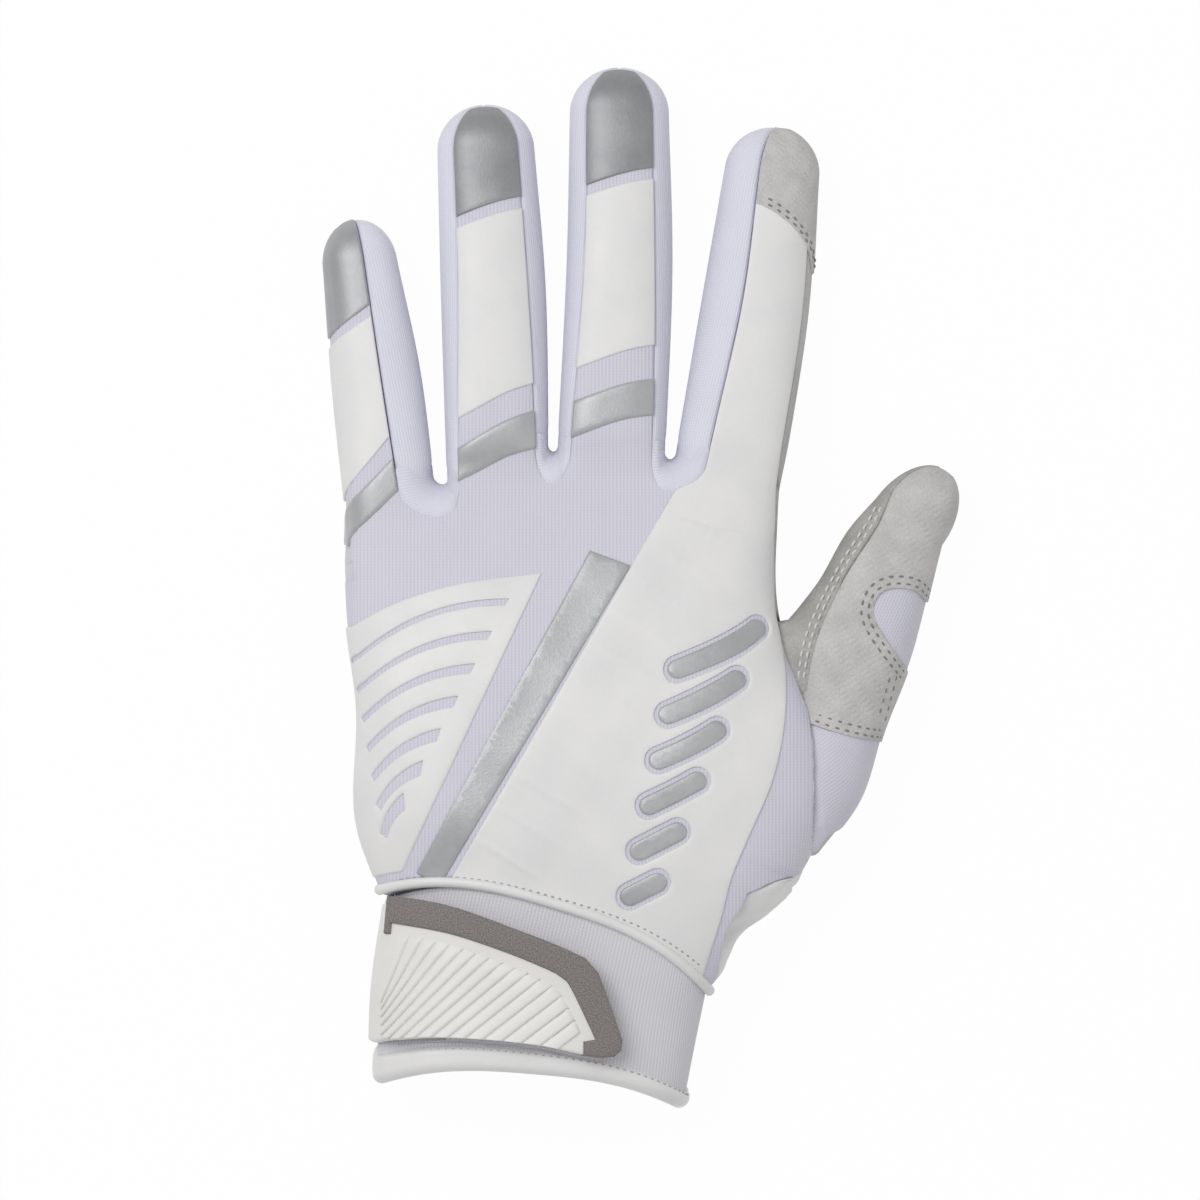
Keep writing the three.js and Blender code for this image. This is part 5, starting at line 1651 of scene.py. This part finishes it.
def thumb_rows(name, inner, gaps, finish=STITCH_HOLE_SHADE, sizes=HOLE_STITCH):
    """Rows of stitches beside a line of places on the thumb."""
    for row, gap in enumerate(gaps):
        path = thumb_skin(inner[:, 0], inner[:, 1], THUMB_LAYER[1])
        normals = normals_of(thumb_skin, inner[:, 0], inner[:, 1], THUMB_LAYER[1])
        path = path + unit(np.cross(tangents(path), normals)) * gap
        obj = stitches(f"{name}_{row + 1}", path, normals, finish, *sizes)
        ride_thumb(obj, "leather")


def thumb_leather():
    """The leather band along the thumb's inner side, the leather over the rest of it, and their stitches."""
    ridge = rooted(on_thumb(BAND_RIDGE, 50))
    top = THUMB.body + THUMB.tip * 0.997
    ridge = np.concatenate([ridge, [(top, ridge[-1, 1] + 0.25)]])
    back = np.linspace(top, ridge[0, 0], 40)
    loop = np.concatenate([ridge, np.stack([back, THUMB.polar(back, BAND_EDGE_DEG)], -1)])
    # The band takes the darker copy of the leather, as painted shade.
    obj = film("thumb_leather_band", thumb_skin, [loop], THUMB_LAYER, BAND_LEATHER_PAINTED_SHADE, FINGER_RIM)
    ride_thumb(obj, "leather", "thumb_inner_band")
    foot = rooted(on_thumb(WRAP_FOOT, 16))
    notch = on_thumb(WRAP_NOTCH, 40)
    low = np.linspace(foot[-1, 0], notch[0, 0], 14)
    high = np.linspace(notch[-1, 0], top, 20)
    edges = [np.stack([run, THUMB.polar(run, WRAP_EDGE_DEG)], -1) for run in (low, high)]
    cap = np.stack([np.full(20, top), np.linspace(edges[1][-1, 1], ridge[-1, 1] - 0.05, 20)], -1)[1:]
    seam = ridge[::-1] - np.array([0.0, 0.012])
    loop = np.concatenate([foot, edges[0], notch, edges[1], cap, seam[1:]])
    obj = film("thumb_leather_cover", thumb_skin, [loop], THUMB_LAYER, LEATHER, FINGER_RIM)
    ride_thumb(obj, "leather", "thumb_leather_wrap")
    thumb_rows("thumb_band_stitching", ridge[3:-4], (-0.9, -2.1), THREAD, THREAD_STITCH)
    thumb_rows("thumb_foot_stitching", foot[2:], (-1.0, -2.4))
    thumb_rows("thumb_notch_stitching", notch, (-1.1, -2.5))
    for side, line in enumerate(WRAP_SIDES):
        thumb_rows(f"thumb_side_stitching_{side + 1}", on_thumb(line, 16), (0.0,))


# Cuff
CUFF_BACK_DEG = (-6.0, 178.2)
CUFF_PALM_DEG = (178.8, 353.4)
HEM_WIDTH = 4.4
HEM_BULGE = 1.0
HEM_STITCH_DEG = (2.0, 172.0)
PALM_DRAW = 6.0  # how far the cuff's end is drawn in on the palm


def cuff_band(name, node, degrees, finish, slot, ends, top, rim, sides):
    """A band of the cuff. On the palm its end is drawn in like the bow of the back, so the back covers it."""
    distance = lerp_pair(ends, spread(16, 0.06))[:, None]
    polar = CUFF.between(distance, degrees, spread(70, 0.01))
    drawn = PALM_DRAW * np.maximum(-np.sin(polar), 0) ** 0.8 * distance / CUFF.length
    obj = panel(name, CUFF.point, distance - drawn, polar, (-WALL, top), finish, rim, sides)
    ride(obj, "hand", slot, node)


def cuff():
    """The cuff's two halves, the rolled hem around them and its stitches."""
    hem = CUFF.length - HEM_WIDTH
    flat = {"ends": (-0.1, hem + 1), "top": 0.0, "rim": 0.5, "sides": LONG_SIDES}
    rolled = {"ends": (hem, CUFF.length), "top": HEM_BULGE, "rim": 1.9, "sides": ALL_SIDES}
    cuff_band("cuff_knit_back", "back_cuff", CUFF_BACK_DEG, CUFF_KNIT, "knit", **flat)
    cuff_band("cuff_palm_panel", "palm_cuff", CUFF_PALM_DEG, WHITE_FILM, "white_synthetic", **flat)
    cuff_band("cuff_back_hem", "back_hem", CUFF_BACK_DEG, BINDING, "white_binding", **rolled)
    cuff_band("cuff_palm_hem", "palm_hem", CUFF_PALM_DEG, BINDING, "white_binding", **rolled)
    ends = (CUFF.polar(hem, limit) for limit in HEM_STITCH_DEG)
    line = np.stack([np.full(90, hem + 0.8), np.linspace(*ends, 90)], -1)
    path, normals = line_on(CUFF.point, line, 160, 0.6)
    obj = stitches("hem_stitching", path, normals, NEEDLE_HOLE_SHADE, *SMALL_STITCH)
    ride(obj, "hand", "white_binding")


# Strap
STRAP_LIFT = 2.4
STRAP_RISE_DEG = (165.0, 130.0)  # where the strap leaves the cuff, and where it lies over the patches
STRAP_ROOT_DEG = 186.0
STRAP_TOP = [(-36.5, -42.6), (-24.6, -44.6), (-10.4, -49.6), (-2.0, -52.8), (3.2, -55.2)]
STRAP_END = [(5.8, -58.2), (8.4, -65.0), (10.6, -71.4), (10.4, -73.6), (9.0, -74.8), (6.8, -75.0)]
STRAP_FOOT = [(6.8, -75.0), (2.6, -74.4), (-6.0, -72.6), (-17.4, -71.4), (-28.2, -71.0), (-40.2, -71.8)]
FRAME_FOOT = [(2.8, -74.6), (2.8, -71.8), (5.2, -71.4)]
FRAME_INNER = [
    (4.4, -69.6), (0.4, -61.4), (-1.4, -59.2), (-5.0, -57.2), (-14.0, -53.6), (-24.6, -50.2), (-35.8, -48.2),
]
FRAME_RETURN = [(-36.0, -50.4), (-37.2, -50.4)]
HOOK_START = -26.0  # the patches under the strap begin where it has climbed over them
LOOP_START = -35.0
PATCH_INSET = 2.0  # from the strap's edge in to the patches
STRAP_FACE = 1.9
RIB_PITCH = 2.75
RIB_LEFT = -37.4
RIB_DEG = (80.0, 36.5)  # lean of the first pleats and of the last
RIB_FAN = 10.0  # length along the border over which the pleats turn flatter
RIB_HEIGHT = 0.5
RIB_PROFILE = [
    (0.0, 0.0), (0.12, 0.42), (0.3, 0.68), (0.55, 0.88), (0.75, 0.98), (0.87, 0.96), (0.95, 0.62), (1.0, 0.0),
]
FRAME_LAYER = (0.62, 2.5)
HOOK_LAYER = (1.4, 2.6)
LOOP_LAYER = (0.05, 1.1)
ANCHOR_LAYER = (0.3, 1.9)
ANCHOR_DEG = (188.5, 218.5)
ANCHOR_SPAN = (0.4, 24.0)  # along the cuff


def strap_skin(distance, polar, offset=0.0):
    """The strap's surface: the cuff's, lifted over the hook and loop patches."""
    distance, polar, offset = grids(distance, polar, offset)
    parts = section_point(polar, CUFF_CORNER)
    side, up = (np.sign(part) * np.abs(part) ** (CUFF_CORNER / 2) for part in parts)
    degrees = np.degrees(np.arctan2(up, side)) % 360
    lift = STRAP_LIFT * (1 - smoothstep(STRAP_RISE_DEG[1], STRAP_RISE_DEG[0], degrees))
    return CUFF.point(distance, polar, offset + lift)


def on_strap(plan, lift):
    """Places on the strap that lie at places in plan once they are lifted."""
    return places(CUFF, plan, lift, strap_skin)


def rib_line(reach, border, field):
    """A pleat's line, from where it leaves the field below up to a place this far along the border."""
    along = steps_along(border[None], 1)[0]
    top = np.array([np.interp(reach, along, border[:, i]) for i in range(2)])
    turn = math.radians(lerp_pair(RIB_DEG[::-1], math.exp(-reach / RIB_FAN)))
    run = top - np.linspace(0, 45, 300)[:, None] * np.array([math.cos(turn), math.sin(turn)])
    within = inside(field, run)
    within[:3] = True
    return run[max(np.argmin(within) - 1, 1)], top


def strap_ribs(foot, inner):
    """Pleats that fan out over the strap: each climbs from one line and drops sharply at the next."""
    border = (inner + np.array([-1.6, -1.7]))[::-1]
    border = border[border[:, 0] > RIB_LEFT + 1]
    field = np.array([(RIB_LEFT, -71.4), *foot[::-1][2:-2] + (0, 0.1), *border[::-1], (RIB_LEFT, -50.2)])
    across, along = np.array(RIB_PROFILE).T[0], np.linspace(0, 1, 26)[:, None]
    rise = RIB_HEIGHT * np.array(RIB_PROFILE).T[1] * np.sqrt(np.clip((1 - along) * 9, 0, 1))
    points, faces, uv = [], [], []
    reaches = np.arange(0.5, steps_along(border[None], 1)[0, -1] - 1, RIB_PITCH)
    lines = [rib_line(reach, border, field) for reach in reaches]
    for pair in zip(lines[:-1], lines[1:]):
        left, right = (low + (high - low) * along for low, high in pair)
        plan = left[:, None] + (right - left)[:, None] * across[None, :, None]
        found = on_strap(plan, STRAP_FACE)
        outer = strap_skin(found[..., 0], found[..., 1], STRAP_FACE + rise)
        own, own_faces = shell(outer, strap_skin(found[..., 0], found[..., 1], STRAP_FACE - 0.5))
        first = sum(len(part) for part in points)
        points.append(own)
        faces += [[corner + first for corner in face] for face in own_faces]
        uv += [plan.reshape(-1, 2)] * 2
    return add_mesh("strap_pleats", np.concatenate(points), faces, RUBBER, np.concatenate(uv))


def strap():
    """The strap with its frame and pleats, the hook and loop patches under it, and its anchor on the palm."""
    top, foot = smooth_path(STRAP_TOP, 24), smooth_path(STRAP_FOOT, 24)
    inner = smooth_path(FRAME_INNER, 30)
    frame_loop = np.concatenate([top, STRAP_END, FRAME_FOOT, inner, FRAME_RETURN])
    loop = on_strap(dense(frame_loop), 2.4)
    obj = film("strap_grey_frame", strap_skin, [loop], FRAME_LAYER, GREY, 0.45, 1.2)
    ride(obj, "strap", "grey_rubber", "strap_frame")
    right = np.array(STRAP_END[:3]) + (-PATCH_INSET, 0)
    under = np.concatenate([top + (0, -1.6), right, [(7.0, -73.6)]])
    edge = on_strap(dense(np.concatenate([under, foot[1:]]), closed=False), STRAP_FACE)
    back = np.linspace(edge[-1, 0], edge[0, 0], 24)
    round_edge = np.stack([back, CUFF.polar(back, STRAP_ROOT_DEG)], -1)
    loop = np.concatenate([edge, round_edge])
    obj = film("strap_ribbed_body", strap_skin, [loop], (0.3, STRAP_FACE), RUBBER, 0.5, 1.2)
    ride(obj, "strap", "white_rubber", "strap_body")
    ride(strap_ribs(foot, inner), "strap", "white_rubber")
    pile = np.concatenate([top[8:] + (0, -PATCH_INSET), right, foot[foot[:, 0] > HOOK_START] + (0, -0.6)])
    obj = film("strap_hook_pile", CUFF.point, [places(CUFF, dense(pile), 2.4)], HOOK_LAYER, PILE, PILE_RIM)
    ride(obj, "strap", "pile", "hook_patch")
    pile = np.concatenate([top[4:] + (0, -PATCH_INSET), right, foot[foot[:, 0] > LOOP_START] + (0, -1.0)])
    obj = film("cuff_loop_pile", CUFF.point, [places(CUFF, dense(pile), 1.1)], LOOP_LAYER, PILE, PILE_RIM)
    ride(obj, "hand", "pile", "loop_patch")
    distance = np.linspace(*ANCHOR_SPAN, 30)[:, None]
    polar = CUFF.between(distance, ANCHOR_DEG, spread(20, 0.05))
    obj = panel("strap_anchor_panel", CUFF.point, distance + 0 * polar, polar, ANCHOR_LAYER, BINDING, 0.6)
    ride(obj, "hand", "white_binding", "strap_anchor")


thumb_panels()
thumb_leather()
cuff()
strap()


# Stage
PHOTO_WIDTH = 240.0  # what the photograph's frame spans
PHOTO_CENTRE = (6.0, 16.0)
CAMERA_HEIGHT = 5000.0
FLOOR_SIZE = 4.0
FLOOR_WHITE = 0.97  # share of plain white in what the camera sees of the floor
WORLD_LIGHT = 0.49


def floor():
    """A pale floor that the camera sees as nearly white, with the glove's shadow kept."""
    finish = bpy.data.materials.new("floor")
    finish.use_nodes = True
    tree = finish.node_tree
    shader = tree.nodes["Principled BSDF"]
    shader.inputs["Base Color"].default_value = (0.9, 0.9, 0.9, 1)
    shader.inputs["Roughness"].default_value = 0.9
    glow = tree.nodes.new("ShaderNodeEmission")
    glow.inputs["Color"].default_value = (1, 1, 1, 1)
    glow.inputs["Strength"].default_value = 1.0
    path = tree.nodes.new("ShaderNodeLightPath")
    seen = path.outputs["Is Camera Ray"]
    for kind in ("Is Glossy Ray", "Is Transmission Ray"):
        either = tree.nodes.new("ShaderNodeMath")
        either.operation = "MAXIMUM"
        tree.links.new(seen, either.inputs[0])
        tree.links.new(path.outputs[kind], either.inputs[1])
        seen = either.outputs["Value"]
    share = tree.nodes.new("ShaderNodeMath")
    share.operation = "MULTIPLY"
    share.inputs[1].default_value = FLOOR_WHITE
    mix = tree.nodes.new("ShaderNodeMixShader")
    tree.links.new(seen, share.inputs[0])
    tree.links.new(share.outputs["Value"], mix.inputs["Fac"])
    tree.links.new(shader.outputs["BSDF"], mix.inputs[1])
    tree.links.new(glow.outputs["Emission"], mix.inputs[2])
    tree.links.new(mix.outputs["Shader"], tree.nodes["Material Output"].inputs["Surface"])
    half = FLOOR_SIZE / 2
    low = -REST_SINK * MM
    mesh = bpy.data.meshes.new("floor")
    corners = [(-half, -half, low), (half, -half, low), (half, half, low), (-half, half, low)]
    mesh.from_pydata(corners, [], [(0, 1, 2, 3)])
    mesh.materials.append(finish)
    obj = bpy.data.objects.new("floor", mesh)
    bpy.context.collection.objects.link(obj)


def lamp(name, place, size, power):
    """A round lamp that points at the glove."""
    data = bpy.data.lights.new(name, "AREA")
    data.shape = "DISK"
    data.size = size
    data.energy = power
    obj = bpy.data.objects.new(name, data)
    bpy.context.collection.objects.link(obj)
    obj.location = place
    obj.rotation_euler = (-Vector(place)).to_track_quat("-Z", "Y").to_euler()


def studio():
    """White surroundings, two lamps and the camera far above."""
    scene = bpy.context.scene
    scene.view_settings.view_transform = "Standard"
    world = bpy.data.worlds.new("studio")
    world.use_nodes = True
    world.node_tree.nodes["Background"].inputs["Color"].default_value = (1, 1, 1, 1)
    world.node_tree.nodes["Background"].inputs["Strength"].default_value = WORLD_LIGHT
    scene.world = world
    lamp("key", (-0.5, 0.45, 1.1), 0.9, 7.4)
    lamp("fill", (0.7, -0.3, 0.9), 1.0, 1.1)
    data = bpy.data.cameras.new("camera")
    data.sensor_width = 36
    data.lens = 36 * CAMERA_HEIGHT / PHOTO_WIDTH
    data.clip_end = 20
    camera = bpy.data.objects.new("camera", data)
    bpy.context.collection.objects.link(camera)
    camera.location = (PHOTO_CENTRE[0] * MM, PHOTO_CENTRE[1] * MM, CAMERA_HEIGHT * MM)
    scene.camera = camera


floor()
studio()
